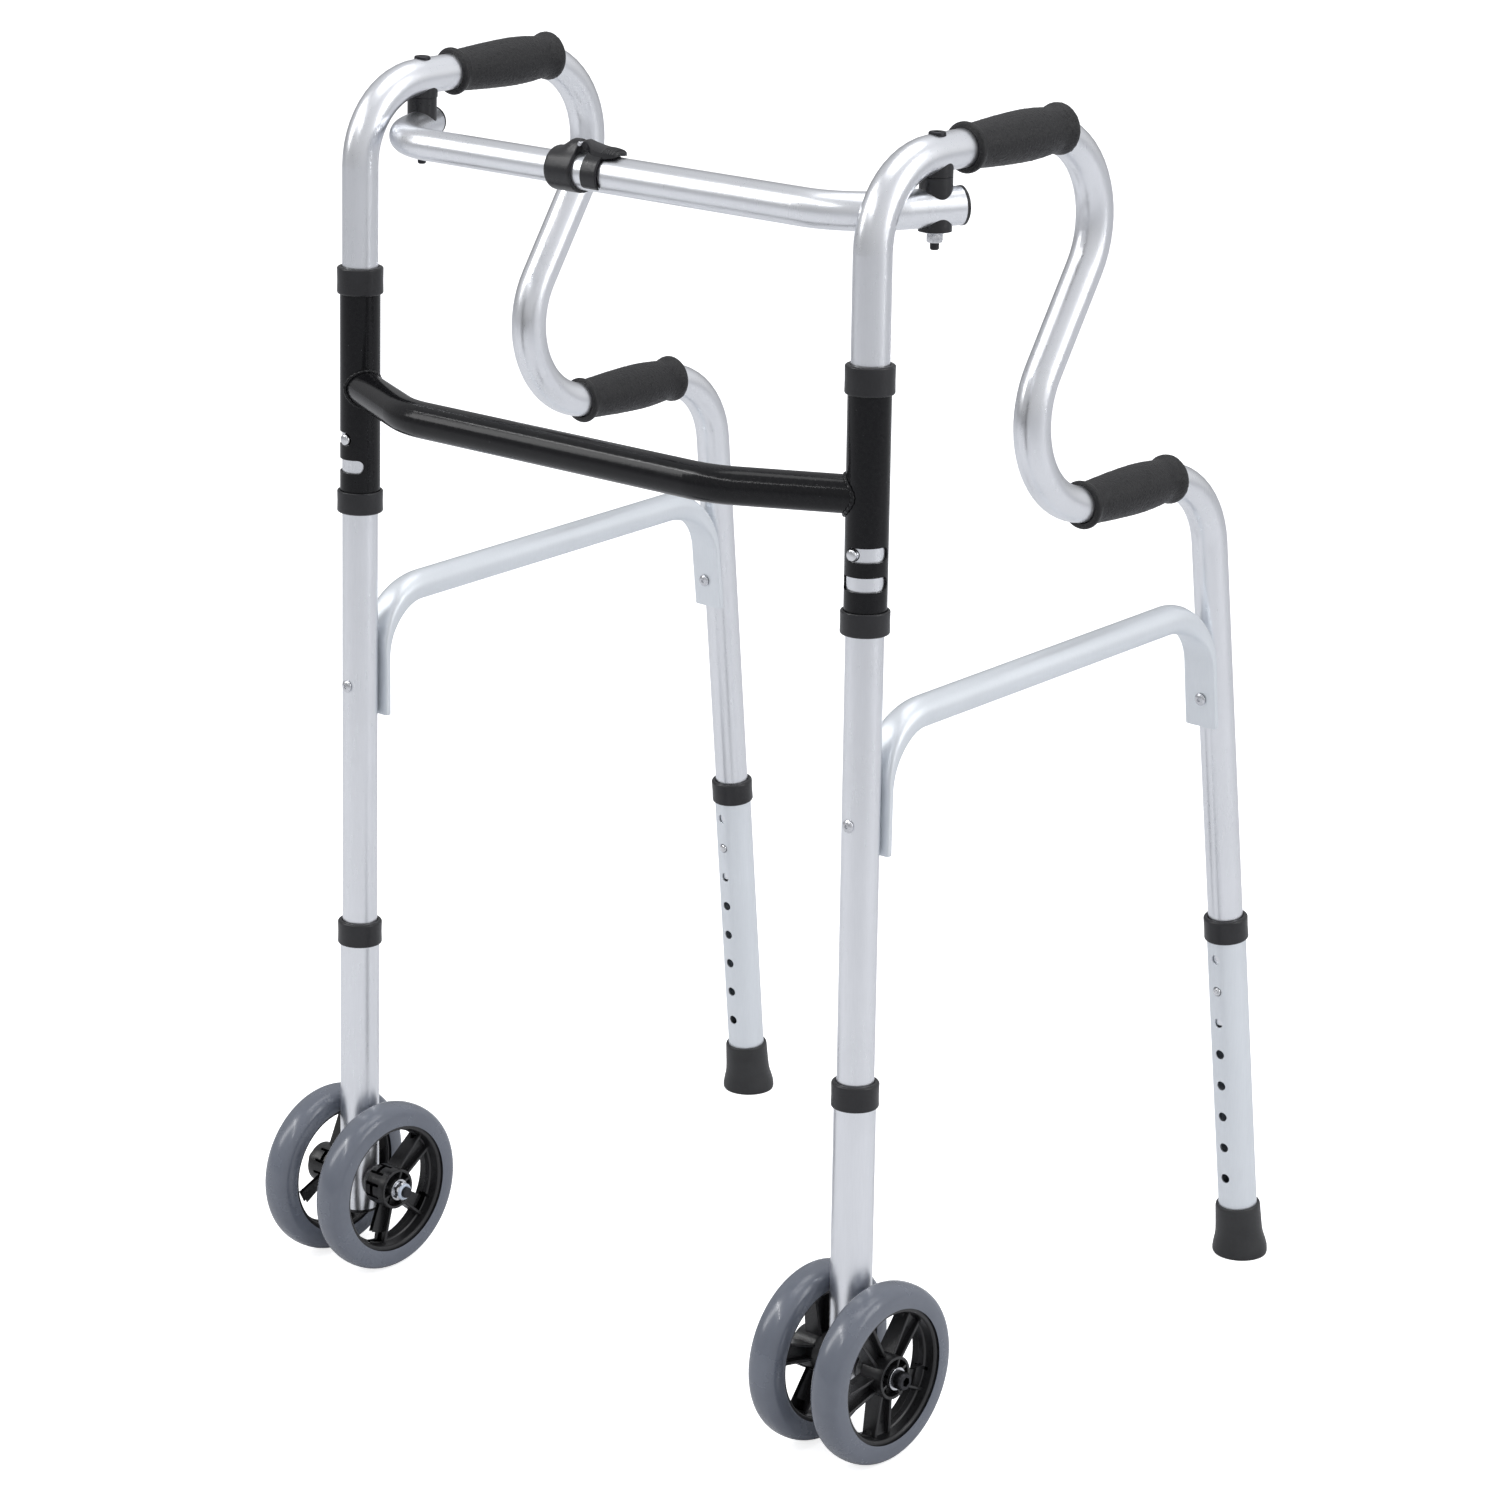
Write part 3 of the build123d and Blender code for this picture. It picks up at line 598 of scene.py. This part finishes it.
def grip_geo(y0, y1, x, z, ys, rad, seed):
    L = y1 - y0
    prof = [(0.0, 15.3), (0.5, 16.2), (1.4, 16.8), (2.6, 17.0), (3.9, 16.7), (5.0, 15.9), (6.0, 15.0), (7.5, 14.7), (12, 14.95), (0.22 * L, 15.6), (0.35 * L, 16.4),
            (0.5 * L, 17.0), (0.62 * L, 17.2), (0.74 * L, 16.7), (0.82 * L, 15.9), (L - 13, 15.3), (L - 10, 15.5), (L - 7.5, 16.4), (L - 5, 17.3), (L - 3, 17.6), (L - 1.4, 17.1), (L - 0.5, 16.3), (L, 15.3)]
    ts = [p[0] for p in prof]
    rs = [p[1] for p in prof]
    nt, ns = 200, 168
    tt = list(np.unique(np.concatenate([np.linspace(0, 7, 14), np.linspace(7, L - 14, nt - 40), np.linspace(L - 14, L, 26)])))
    V, F = [], []
    for t in tt:
        # smooth cubic through the table
        # linear interpolation through the table, smoothed by a three-point average
        r0 = float(np.interp(t, ts, rs))
        r1 = (float(np.interp(t - 1.2, ts, rs)) + r0 + float(np.interp(t + 1.2, ts, rs))) / 3 if 2 < t < L - 2 else r0
        for i in range(ns):
            a = 2 * math.pi * i / ns
            rr = r1
            if 8 < t < L - 1.0:
                p = Vector((math.cos(a) * rr * 0.62, t * 0.62, math.sin(a) * rr * 0.62)) + Vector((seed * 31.0, 0, 0))
                fade = min(1.0, (t - 8) / 4.0)
                side = 0.45 + 0.55 * abs(math.cos(a)) ** 0.7
                rr += (noise.noise(p) * 0.30 + noise.noise(p * 2.1) * 0.16) * fade * side - 0.06
            V.append((x + math.cos(a) * rr, y0 + YO + t, z + math.sin(a) * rr))
    n_out = len(tt)
    inner = list(np.linspace(0, L, 24))[::-1]
    for t in inner:
        dz, ph = bend_drop(y0 + t, ys, rad)
        ri = TUBE_R + 0.08
        for i in range(ns):
            a = 2 * math.pi * i / ns
            V.append((x + math.cos(a) * ri, y0 + YO + t, z - dz + math.sin(a) * ri / math.cos(ph)))
    rows = n_out + len(inner)
    for i in range(rows):
        j = (i + 1) % rows
        for k in range(ns):
            m = (k + 1) % ns
            F.append((i * ns + k, i * ns + m, j * ns + m, j * ns + k))
    return np.array(V), F


both("upper_grip", grip_geo(114.2, 215.7, 234.1, TOP_Z, 191.0, 63.0, 1), "grip_rubber", "*_side", ["*_upper_grip"], 60)
both("lower_grip", grip_geo(243.5, 346.0, 235.4, LOW_Z, 331.6, 61.0, 2), "grip_rubber", "*_side", ["*_lower_grip"], 60)

# ------------------------------------------------------------------ wheels
AX = front_at(WHEEL_R)
HUB_R = 15.4


def ang_box(a0, r0, r1, w0, w1, x0, x1, z0, z1, off0=0.0, off1=0.0, n=5):
    """Radial bar in the wheel's plane: from r0 to r1, half widths w0..w1, depths x0..x1 and z0..z1."""
    secs = []
    ca, sa = math.cos(a0), math.sin(a0)
    for i in range(n):
        f = i / (n - 1)
        r = r0 + (r1 - r0) * f
        w = w0 + (w1 - w0) * f
        o = off0 + (off1 - off0) * f
        lo, hi = x0 + (z0 - x0) * f, x1 + (z1 - x1) * f
        c = min(0.5, w * 0.4)
        pts = []
        for h, wv in ((lo, -w + c), (lo, w - c), (lo + c, w), (hi - c, w), (hi, w - c), (hi, -w + c), (hi - c, -w), (lo + c, -w)):
            pts.append(A(h, r * ca - (wv + o) * sa, r * sa + (wv + o) * ca))
        secs.append(pts)
    return loft(secs)


def rim_geo(phase):
    o, X = (0, 0, 0), (1, 0, 0)
    barrel = rev(o, X, [(-10.4, 45.6), (-10.4, 49.4), (10.4, 49.4), (10.4, 45.6), (9.2, 44.6), (3.0, 44.0), (2.2, 42.6), (-2.2, 42.6), (-3.0, 44.0), (-9.2, 44.6)], 112, 0.5)
    parts = [barrel]
    hub = [(-12.8, 4.1), (-12.8, 11.5), (-6.0, HUB_R - 0.6), (7.4, HUB_R - 0.3), (7.4, 4.1)]
    parts.append(rev(o, X, hub, 72, 0.6))
    parts.append(rev(o, X, [(6.0, 13.0), (6.0, HUB_R - 0.3), (12.9, HUB_R - 0.3), (12.9, 13.0)], 72, 0.5))
    parts.append(rev(o, X, [(6.0, 4.1), (6.0, 8.2), (13.0, 7.9), (13.0, 4.1)], 48, 0.4))
    for i in range(8):
        parts.append(ang_box(math.radians(22.5 + 45 * i), 7.4, 13.8, 0.85, 0.95, 5.8, 12.4, 5.8, 12.4, n=2))
    for i in range(5):
        a = math.radians(phase + 72 * i)
        parts.append(ang_box(a, 13.0, 44.6, 5.0, 7.4, -1.6, 1.6, -1.6, 1.6, n=3))
        for s in (-1, 1):
            parts.append(ang_box(a, 13.0, 45.2, 1.05, 1.15, -6.9, 6.9, -5.6, 5.6, s * 4.6, s * 7.3, n=3))
        parts.append(ang_box(a, 36.0, 44.6, 7.0, 9.6, -1.9, 1.9, -2.6, 2.6, n=3))
    return parts


def tyre_prof():
    w, R0 = 12.0, 49.5
    pts = [(-10.4, R0), (-w + 0.3, R0 - 1.6), (-w, R0 - 0.6), (-w, R0 + 3.0)]
    for k in range(1, 18):
        a = math.pi * (1 - k / 18)
        pts.append((w * math.copysign(abs(math.cos(a)) ** 0.86, math.cos(a)), 55.2 + 8.25 * math.sin(a) ** 0.86 + (0.0 if k != 9 else 0.03)))
    pts += [(w, R0 + 3.0), (w, R0 - 0.6), (w - 0.3, R0 - 1.6), (10.4, R0)]
    return pts


def place(geo, off, flip):
    V = geo[0].copy()
    if flip:
        V[:, 0] *= -1
    return V + A(AX[0] + off, AX[1], AX[2]), geo[1]


RIM = {}
for side, mir, ph in (("left", False, (48.5, 20.0)), ("right", True, (62.0, 35.0))):
    for nm, sgn, k in (("outer", 1, 0), ("inner", -1, 1)):
        if ph[k] not in RIM:
            RIM[ph[k]] = union("rim", rim_geo(ph[k]))
        g = place(RIM[ph[k]], sgn * 27.8, sgn < 0)
        piece("vis_%s_%s_rim" % (side, nm), g, "rim_plastic", "%s_%s_wheel" % (side, nm), ["%s_%s_wheel_rim" % (side, nm)], mir, 30)
        t = place(rev((0, 0, 0), (1, 0, 0), tyre_prof(), 160), sgn * 27.8, sgn < 0)
        piece("vis_%s_%s_tyre" % (side, nm), t, "tyre_rubber", "%s_%s_wheel" % (side, nm), ["%s_%s_wheel_tyre" % (side, nm)], mir, 50)

# ------------------------------------------------------------------ collars, tips, caps
S0, S1 = front_at(573.0), front_at(747.5)
R_IN = OUT_R + 0.05
top_c = rev(S1, FD, [(-18, R_IN), (-18, 15.9), (-17.0, 16.4), (-9, 16.25), (0.2, 16.4), (1.1, 15.3), (1.1, 13.0), (0.1, 13.0), (0.1, R_IN)], 96, 0.7)
bot_c = rev(S0, FD, [(15, R_IN), (15, 15.9), (14.2, 16.4), (7, 16.25), (-0.2, 16.4), (-1.1, 15.3), (-1.1, 13.0), (-0.1, 13.0), (-0.1, R_IN)], 96, 0.7)
both("sleeve_collars", join([top_c, bot_c]), "dark_plastic", "front_frame", ["*_sleeve_collars"])
LEGC = [(-14.5, R_IN), (-14.5, 15.7), (-13.6, 16.2), (-6, 16.0), (2.0, 16.2), (3.3, 15.0), (3.3, 13.0), (0.1, 13.0), (0.1, R_IN)]
both("front_collar", rev(front_at(262.0), FD, LEGC, 96, 0.7), "dark_plastic", "*_front_leg", ["*_front_collar"])
both("rear_collar", rev(rear_at(270.0), RD, LEGC, 96, 0.7), "dark_plastic", "*_rear_leg", ["*_rear_collar"])


def tip_clean():
    prof = [(0.4, 0), (0.4, 20.1), (1.6, 20.5), (4.6, 20.45), (6.0, 20.2), (9.0, 19.6), (14.0, 18.3), (18, 17.6), (24, 17.25), (39.2, 16.7), (40.6, 16.3), (41.2, 15.6), (41.2, R_IN), (8.9, R_IN), (8.9, 0)]
    V, F = rev(rear_at(0), RD, fillet(prof, 0.5, 3), 96)
    base = rear_at(0)
    # shear so that the foot's face lies on the floor
    t = (V - base) @ RD
    perp = V - base - np.outer(t, RD)
    k = np.clip(1.0 - (t - 0.4) / 5.0, 0, 1)
    V[:, 2] -= perp[:, 2] * k
    V[:, 2] -= np.where(t < 0.6, V[:, 2], 0.0)
    return V, F


both("rear_tip", tip_clean(), "tip_rubber", "*_rear_leg", ["*_rear_tip"])
plug = rev(front_at(41.0), FD, [(-3.2, 0), (-3.2, 12.4), (-2.4, 14.0), (-0.05, 14.1), (-0.05, 12.95), (12.5, 12.95), (13.3, 11.8), (13.3, 0)], 72, 0.5)
both("front_end_plug", plug, "dark_plastic", "*_front_leg", ["*_front_end_plug"])


# ------------------------------------------------------------------ fasteners
def hexring(c, d, af2, t0, t1, hole, ch=0.9, rot=0.0):
    """Hexagonal nut body with chamfered corners and a round hole: across-corner radius af2."""
    x, y, d = frame_of(d)
    seg = 72
    V, F, rings = [], [], []
    flat = af2 * math.cos(math.pi / 6)

    def hexr(a):
        b = (a + rot) % (math.pi / 3) - math.pi / 6
        return flat / math.cos(b)

    rows = [(t0, lambda a: hole), (t0, lambda a: min(hexr(a), flat * 0.97)), (t0 + ch, lambda a: hexr(a)), (t1 - ch, lambda a: hexr(a)), (t1, lambda a: min(hexr(a), flat * 0.97)), (t1, lambda a: hole)]
    for t, f in rows:
        rings.append(list(range(len(V), len(V) + seg)))
        for i in range(seg):
            a = 2 * math.pi * i / seg
            V.append(A(*c) + d * t + (x * math.cos(a) + y * math.sin(a)) * f(a))
    n = len(rings)
    for i in range(n):
        for j in range(seg):
            k = (j + 1) % seg
            F.append((rings[i][j], rings[(i + 1) % n][j], rings[(i + 1) % n][k], rings[i][k]))
    return np.array(V), F


def socket_screw(p, d, rim, top, seat_t, shank, end, hex_r, depth, dome=0.0):
    """Round head with a real hexagonal socket; t runs from the shank's end to the head's top."""
    x, y, d = frame_of(d)
    seg = 72
    flat = hex_r * math.cos(math.pi / 6)

    def hexr(a):
        b = a % (math.pi / 3) - math.pi / 6
        return flat / math.cos(b)

    rows = [(end, None), (end, lambda a: shank - 0.7), (end + 0.8 * (1 if seat_t > end else -1), lambda a: shank), (seat_t, lambda a: shank), (seat_t, lambda a: rim), ((top - seat_t) * 0.55 + seat_t, lambda a: rim),
            ((top - seat_t) * 0.82 + seat_t, lambda a: rim * 0.97), (top - 0.02, lambda a: rim * 0.86), (top, lambda a: hex_r * 1.12), (top, lambda a: hexr(a)), (top - depth, lambda a: hexr(a)), (top - depth, None)]
    V, rings = [], []
    for t, f in rows:
        if f is None:
            rings.append([len(V)])
            V.append(A(*p) + d * t)
        else:
            rings.append(list(range(len(V), len(V) + seg)))
            for i in range(seg):
                a = 2 * math.pi * i / seg
                V.append(A(*p) + d * t + (x * math.cos(a) + y * math.sin(a)) * f(a))
    F = []
    for i in range(len(rings) - 1):
        a, b = rings[i], rings[i + 1]
        for j in range(seg):
            k = (j + 1) % seg
            if len(a) == 1:
                F.append((a[0], b[j], b[k]))
            elif len(b) == 1:
                F.append((a[j], b[0], a[k]))
            else:
                F.append((a[j], b[j], b[k], a[k]))
    return np.array(V), F


piv0 = A(234.3, 87.0 + YO, TOP_Z)
b_top = piv0 + FD * (TUBE_R / FD[2])
nut_t = -(TOP_Z + TUBE_R - (BZ - TUBE_R - 2.4))
screw = socket_screw(b_top, FD, 5.75, 1.45, -1.5, 3.0, -74.5, 2.7, 1.9)
pn = hexring(b_top, FD, 5.6, nut_t - 7.3, nut_t - 1.6, 3.02)
pw = rev(b_top, FD, [(nut_t - 1.4, 3.2), (nut_t - 1.4, 6.4), (nut_t - 0.3, 6.4), (nut_t - 0.3, 3.2)], 48, 0.25)
for side, mir in (("left", False), ("right", True)):
    piece("vis_%s_pivot_screw" % side, screw, "black_steel", side + "_side", [side + "_pivot_fasteners"], mir, 30)
    piece("vis_%s_pivot_nut" % side, join([pn, pw]), "zinc_steel", side + "_side", [], mir, 30)

H0, H1 = 15.0, 40.8
ax_s = socket_screw(AX, (1, 0, 0), 6.4, H1 + 9.3, H1 + 1.8, 4.0, -(H1 + 11.0), 3.5, 4.0)
both("axle_screw", ax_s, "black_steel", "*_front_leg", ["*_axle_bolt"], 30)
an = hexring(AX, (-1, 0, 0), 7.5, H1 + 1.8, H1 + 6.6, 4.02)
ny = rev(AX, (-1, 0, 0), [(H1 + 6.5, 4.02), (H1 + 6.5, 6.2), (H1 + 8.1, 5.7), (H1 + 8.35, 5.0), (H1 + 8.0, 4.02)], 48, 0.25)
wo_ = rev(AX, (1, 0, 0), [(H1 + 0.3, 4.05), (H1 + 0.3, 8.0), (H1 + 1.75, 8.0), (H1 + 1.75, 4.05)], 56, 0.3)
wi_ = rev(AX, (-1, 0, 0), [(H1 + 0.3, 4.05), (H1 + 0.3, 8.0), (H1 + 1.75, 8.0), (H1 + 1.75, 4.05)], 56, 0.3)
both("axle_nut", join([an, wo_, wi_]), "zinc_steel", "*_front_leg", ["*_axle_nut_and_washers"], 30)
both("axle_nut_insert", ny, "nylon_insert", "*_front_leg", [], 30)


def rivet(p, d, back, front):
    return rev(p, d, [(-back - 1.0, 0), (-back - 1.0, 2.4), (-back - 0.5, 3.8), (-back - 0.05, 4.2), (-back - 0.05, 2.4), (front + 0.1, 2.4), (front + 0.1, 4.6), (front + 0.9, 4.4), (front + 1.8, 3.2), (front + 2.3, 1.7), (front + 2.2, 1.3), (front + 1.0, 1.1), (front + 1.0, 0)], 56, 0.3)


down = A(0, -1, 0)
RF = unit(down - FD * FD.dot(down))
RR = unit(down - RD * RD.dot(down))
both("brace_rivets", join([rivet(front_at(444.5), RF, TUBE_R + 6.1, TUBE_R), rivet(rear_at(446.5), RR, TUBE_R, TUBE_R + 6.1)]), "zinc_steel", "*_side", ["*_brace_rivets"], 40)


def button(p, d, r, reach):
    return rev(p, d, [(7.2, 0), (7.2, r + 0.9), (8.6, r + 0.9), (9.2, r), (reach - 1.5, r), (reach - 0.9, r * 0.93), (reach - 0.4, r * 0.74), (reach - 0.1, r * 0.42), (reach, 0)], 56, 0.25)


both("fold_button", button(front_at(626.5), (0, -1, 0), 4.0, OUT_R + 2.2), "button_steel", "*_fold_button", ["*_fold_button"], 50)
both("front_height_button", button(front_at(209.0), (0, 1, 0), 3.1, OUT_R + 1.6), "button_steel", "*_front_height_button", ["*_front_height_button"], 50)
both("rear_height_button", button(rear_at(216.0), (0, -1, 0), 3.1, OUT_R + 1.6), "button_steel", "*_rear_height_button", ["*_rear_height_button"], 50)


# ------------------------------------------------------------------ weld beads
def weld(z_axis_pt, axis_dir):
    """Bead along the meeting line of the crossbar and the sleeve."""
    u = unit(axis_dir)
    xx, yy, _ = frame_of(u)
    base = front_at(663.0)
    n = 120
    curve = []
    for i in range(n):
        a = 2 * math.pi * i / n
        o = base + (xx * math.cos(a) + yy * math.sin(a)) * (TUBE_R + 0.5)
        # distance to the sleeve's surface, going towards the middle of the frame
        lo, hi = 0.0, 40.0
        for _k in range(40):
            m = (lo + hi) / 2
            q = o - u * m
            w = q - base
            w = w - FD * w.dot(FD)
            if np.linalg.norm(w) < OUT_R + 0.35:
                lo = m
            else:
                hi = m
        curve.append(o - u * lo)
    V, F, ns = [], [], 14
    for i in range(n):
        t = unit(curve[(i + 1) % n] - curve[i - 1])
        nx = unit(np.cross(t, u))
        ny_ = np.cross(t, nx)
        rr = 1.55 + 0.22 * math.sin(i * 2 * math.pi / n * 26) + 0.15 * noise.noise(Vector((i * 0.4, 3.1, 0)))
        for k in range(ns):
            b = 2 * math.pi * k / ns
            V.append(curve[i] + nx * math.cos(b) * rr + ny_ * math.sin(b) * rr)
    for i in range(n):
        j = (i + 1) % n
        for k in range(ns):
            m = (k + 1) % ns
            F.append((i * ns + k, i * ns + m, j * ns + m, j * ns + k))
    return np.array(V), F


cs = front_at(663.0)
both("crossbar_weld", weld(cs, A(cs[0] - 141.0, cs[1] - (-24.0 + YO), 0.0)), "gloss_black_paint", "front_frame", [], 60)


# ------------------------------------------------------------------ clip on the upper bar
def hood(x, f):
    """Outer outline of the collar at x; f is how far the top hump has risen."""
    pts = []
    for i in range(96):
        a = 2 * math.pi * i / 96
        c = max(0.0, math.sin(a))
        h = 15.1 + f * 5.6 * (c ** 14) + f * 0.8 * (c ** 4)
        pts.append((x, BAR_Y + math.cos(a) * h, BZ + math.sin(a) * h))
    return pts


def clip_collar():
    V, F = [], []
    xs = [(-47.0, 14.2, 0), (-46.7, 14.8, 0), (-45.8, 15.1, 0.0)] + [(-45.0 + k * 1.2, 15.1, 0) for k in range(1, 18)] + [(-24.0, 15.0, 0), (-23.6, 14.6, 0)]
    rows = []
    for x, r, _ in xs:
        f = min(1.0, max(0.0, (x + 44.0) / 15.0))
        f = f * f * (3 - 2 * f)
        s = hood(x, f)
        k = r / 15.1
        rows.append([(px, BAR_Y + (py - BAR_Y) * k, BZ + (pz - BZ) * k) for px, py, pz in s])
    # bore: clear of the outer tube, close on the inner one
    for x, r in ((-23.6, 12.78), (-36.1, 12.78), (-36.1, 11.4), (-47.0, 11.4)):
        rows.append([(x, BAR_Y + math.cos(2 * math.pi * i / 96) * r, BZ + math.sin(2 * math.pi * i / 96) * r) for i in range(96)])
    for s in rows:
        V += s
    n = len(rows)
    for i in range(n):
        j = (i + 1) % n
        for k in range(96):
            m = (k + 1) % 96
            F.append((i * 96 + k, i * 96 + m, j * 96 + m, j * 96 + k))
    return np.array(V), F


def arc_bar(x0, x1, th0, th1, ri, ro, n=48, edge=0.5):
    """Part ring round the bar, between angles measured from the top."""
    secs = []
    for i in range(n + 1):
        t = math.radians(th0 + (th1 - th0) * i / n)
        d = A(0, math.sin(t), math.cos(t))
        c = A(0, BAR_Y, BZ)
        k = min(1.0, 0.55 + min(i, n - i) * 0.15)
        rm = ri + (ro - ri) * k
        secs.append([c + d * ri + A(x0 + edge, 0, 0), c + d * (ri + edge) + A(x0, 0, 0), c + d * (rm - edge) + A(x0, 0, 0), c + d * rm + A(x0 + edge, 0, 0),
                     c + d * rm + A(x1 - edge, 0, 0), c + d * (rm - edge) + A(x1, 0, 0), c + d * (ri + edge) + A(x1, 0, 0), c + d * ri + A(x1 - edge, 0, 0)])
    return loft(secs)


def lever_top():
    """Bridge from the pin over the hook to the ribbed thumb tab."""
    secs = []
    prof = [(-22.7, 18.1, 20.1, 3.4), (-22.0, 17.5, 20.7, 3.9), (-21.0, 17.1, 21.0, 4.0), (-20.0, 16.9, 21.4, 4.0), (-18.0, 16.4, 21.9, 4.0), (-15.5, 15.0, 21.3, 4.1), (-13.0, 13.4, 20.4, 6.0), (-10.0, 13.25, 19.8, 7.5), (-6.0, 13.25, 19.2, 8.0), (-2.0, 13.4, 18.8, 8.3), (0.0, 14.0, 18.6, 8.4)]
    k = 0
    x = 0.6
    while x < 9.2:
        rib = 0.55 if k % 2 == 0 else 0.0
        base = 18.3 - 0.10 * (x * x) / 10
        prof.append((x, 14.4 + x * 0.02, base + rib, 8.4 - 0.02 * x * x))
        prof.append((x + 0.55, 14.4 + x * 0.02, base + rib, 8.4 - 0.02 * x * x))
        x += 0.95
        k += 1
    prof += [(9.6, 14.4, 17.0, 6.4), (10.6, 14.3, 16.4, 5.2), (11.0, 14.4, 15.6, 4.0)]
    for x, lo, hi, w in prof:
        pts = []
        m = 12
        for i in range(m + 1):
            s = -1 + 2 * i / m
            y = s * w
            top = hi - 0.9 * abs(s) ** 3 - (hi - math.sqrt(max(hi * hi - y * y, 1)))
            pts.append(A(x, BAR_Y + y, BZ + top))
        for i in range(m + 1):
            s = 1 - 2 * i / m
            y = s * w
            pts.append(A(x, BAR_Y + y, BZ + min(math.sqrt(max(lo * lo - y * y, 1)), hi - 1.2)))
        secs.append(pts)
    return loft(secs)


piece("vis_clip_collar", clip_collar(), "dark_plastic", "bar_left_half", ["clip_collar"], False, 40)
lev = union("lever", [lever_top(), arc_bar(-13.5, 0.5, -128, 128, 13.2, 15.4, 72)])
piece("vis_clip_lever", lev, "dark_plastic", "clip_lever", ["clip_lever"], False, 35)
pin = rev((0, BAR_Y, BZ + 19.0), (0, 1, 0), [(-6.6, 0), (-6.6, 1.5), (6.6, 1.5), (6.6, 0)], 24, 0.2)
V_, F_ = pin
piece("vis_clip_pin", (V_ + A(-21.5, 0, 0), F_), "zinc_steel", "clip_lever", [], False, 40)


# ------------------------------------------------------------------ brace, one drawn tube with flattened ends
def brace_geo():
    xa, xb = front_at(506)[0], rear_at(512)[0]
    y0, y1, za, zb, R = 75.4 + YO, 340.4 + YO, 506.5, 512.0, 45.0
    tab = ((0.0, 0.25, 0.5, 0.75, 1.0), (21.5, 22.0, 23.6, 25.4, 26.6), (21.5, 20.2, 14.8, 8.4, 4.8))
    path = []

    def add(x, y, z, ty, tz, k):
        path.append((A(x, y, z), unit(A(0, ty, tz)), float(np.interp(k, tab[0], tab[1])), float(np.interp(k, tab[0], tab[2]))))

    for z in (419.5, 420.0, 426.0, 434.0, 442.0, 450.0, 457.0):
        add(xa, front_at(z)[1] + TUBE_R + 3.1, z, 0.03, 1, 1.0)
    for i in range(24, -1, -1):
        a = math.radians(88.3) * i / 24
        add(xa, y0 - R * math.sin(a), za - R * (1 - math.cos(a)), math.cos(a), math.sin(a), i / 24)
    for i in range(1, 12):
        f = i / 12
        add(xa + (xb - xa) * f, y0 + (y1 - y0) * f, za + (zb - za) * f, 1, 0.02, 0.0)
    for i in range(25):
        a = math.radians(84.6) * i / 24
        add(xb, y1 + R * math.sin(a), zb - R * (1 - math.cos(a)), math.cos(a), -math.sin(a), i / 24)
    for z in (462.0, 454.0, 446.0, 438.0, 431.0, 424.5, 424.0):
        add(xb, rear_at(z)[1] - (TUBE_R + 3.2) / math.cos(math.radians(5.45)), z, 0.095, -1, 1.0)
    secs = []
    for k, (o, t, w, th) in enumerate(path):
        nrm = A(0, -t[2], t[1])
        e = 2.0 / (2.0 + 5.0 * max(0.0, 1 - th / w) ** 1.3)
        q = 0.97 if k in (0, len(path) - 1) else 1.0
        pts = []
        for i in range(64):
            a = 2 * math.pi * (i + 0.5) / 64
            c, s_ = math.cos(a), math.sin(a)
            pts.append(o + A(1, 0, 0) * (w * q / 2 * math.copysign(abs(c) ** e, c)) + nrm * (th * q / 2 * math.copysign(abs(s_) ** e, s_)))
        secs.append(pts)
    return loft(secs)


both("brace", brace_geo(), "pale_aluminium", "*_side", ["*_brace"], 45)
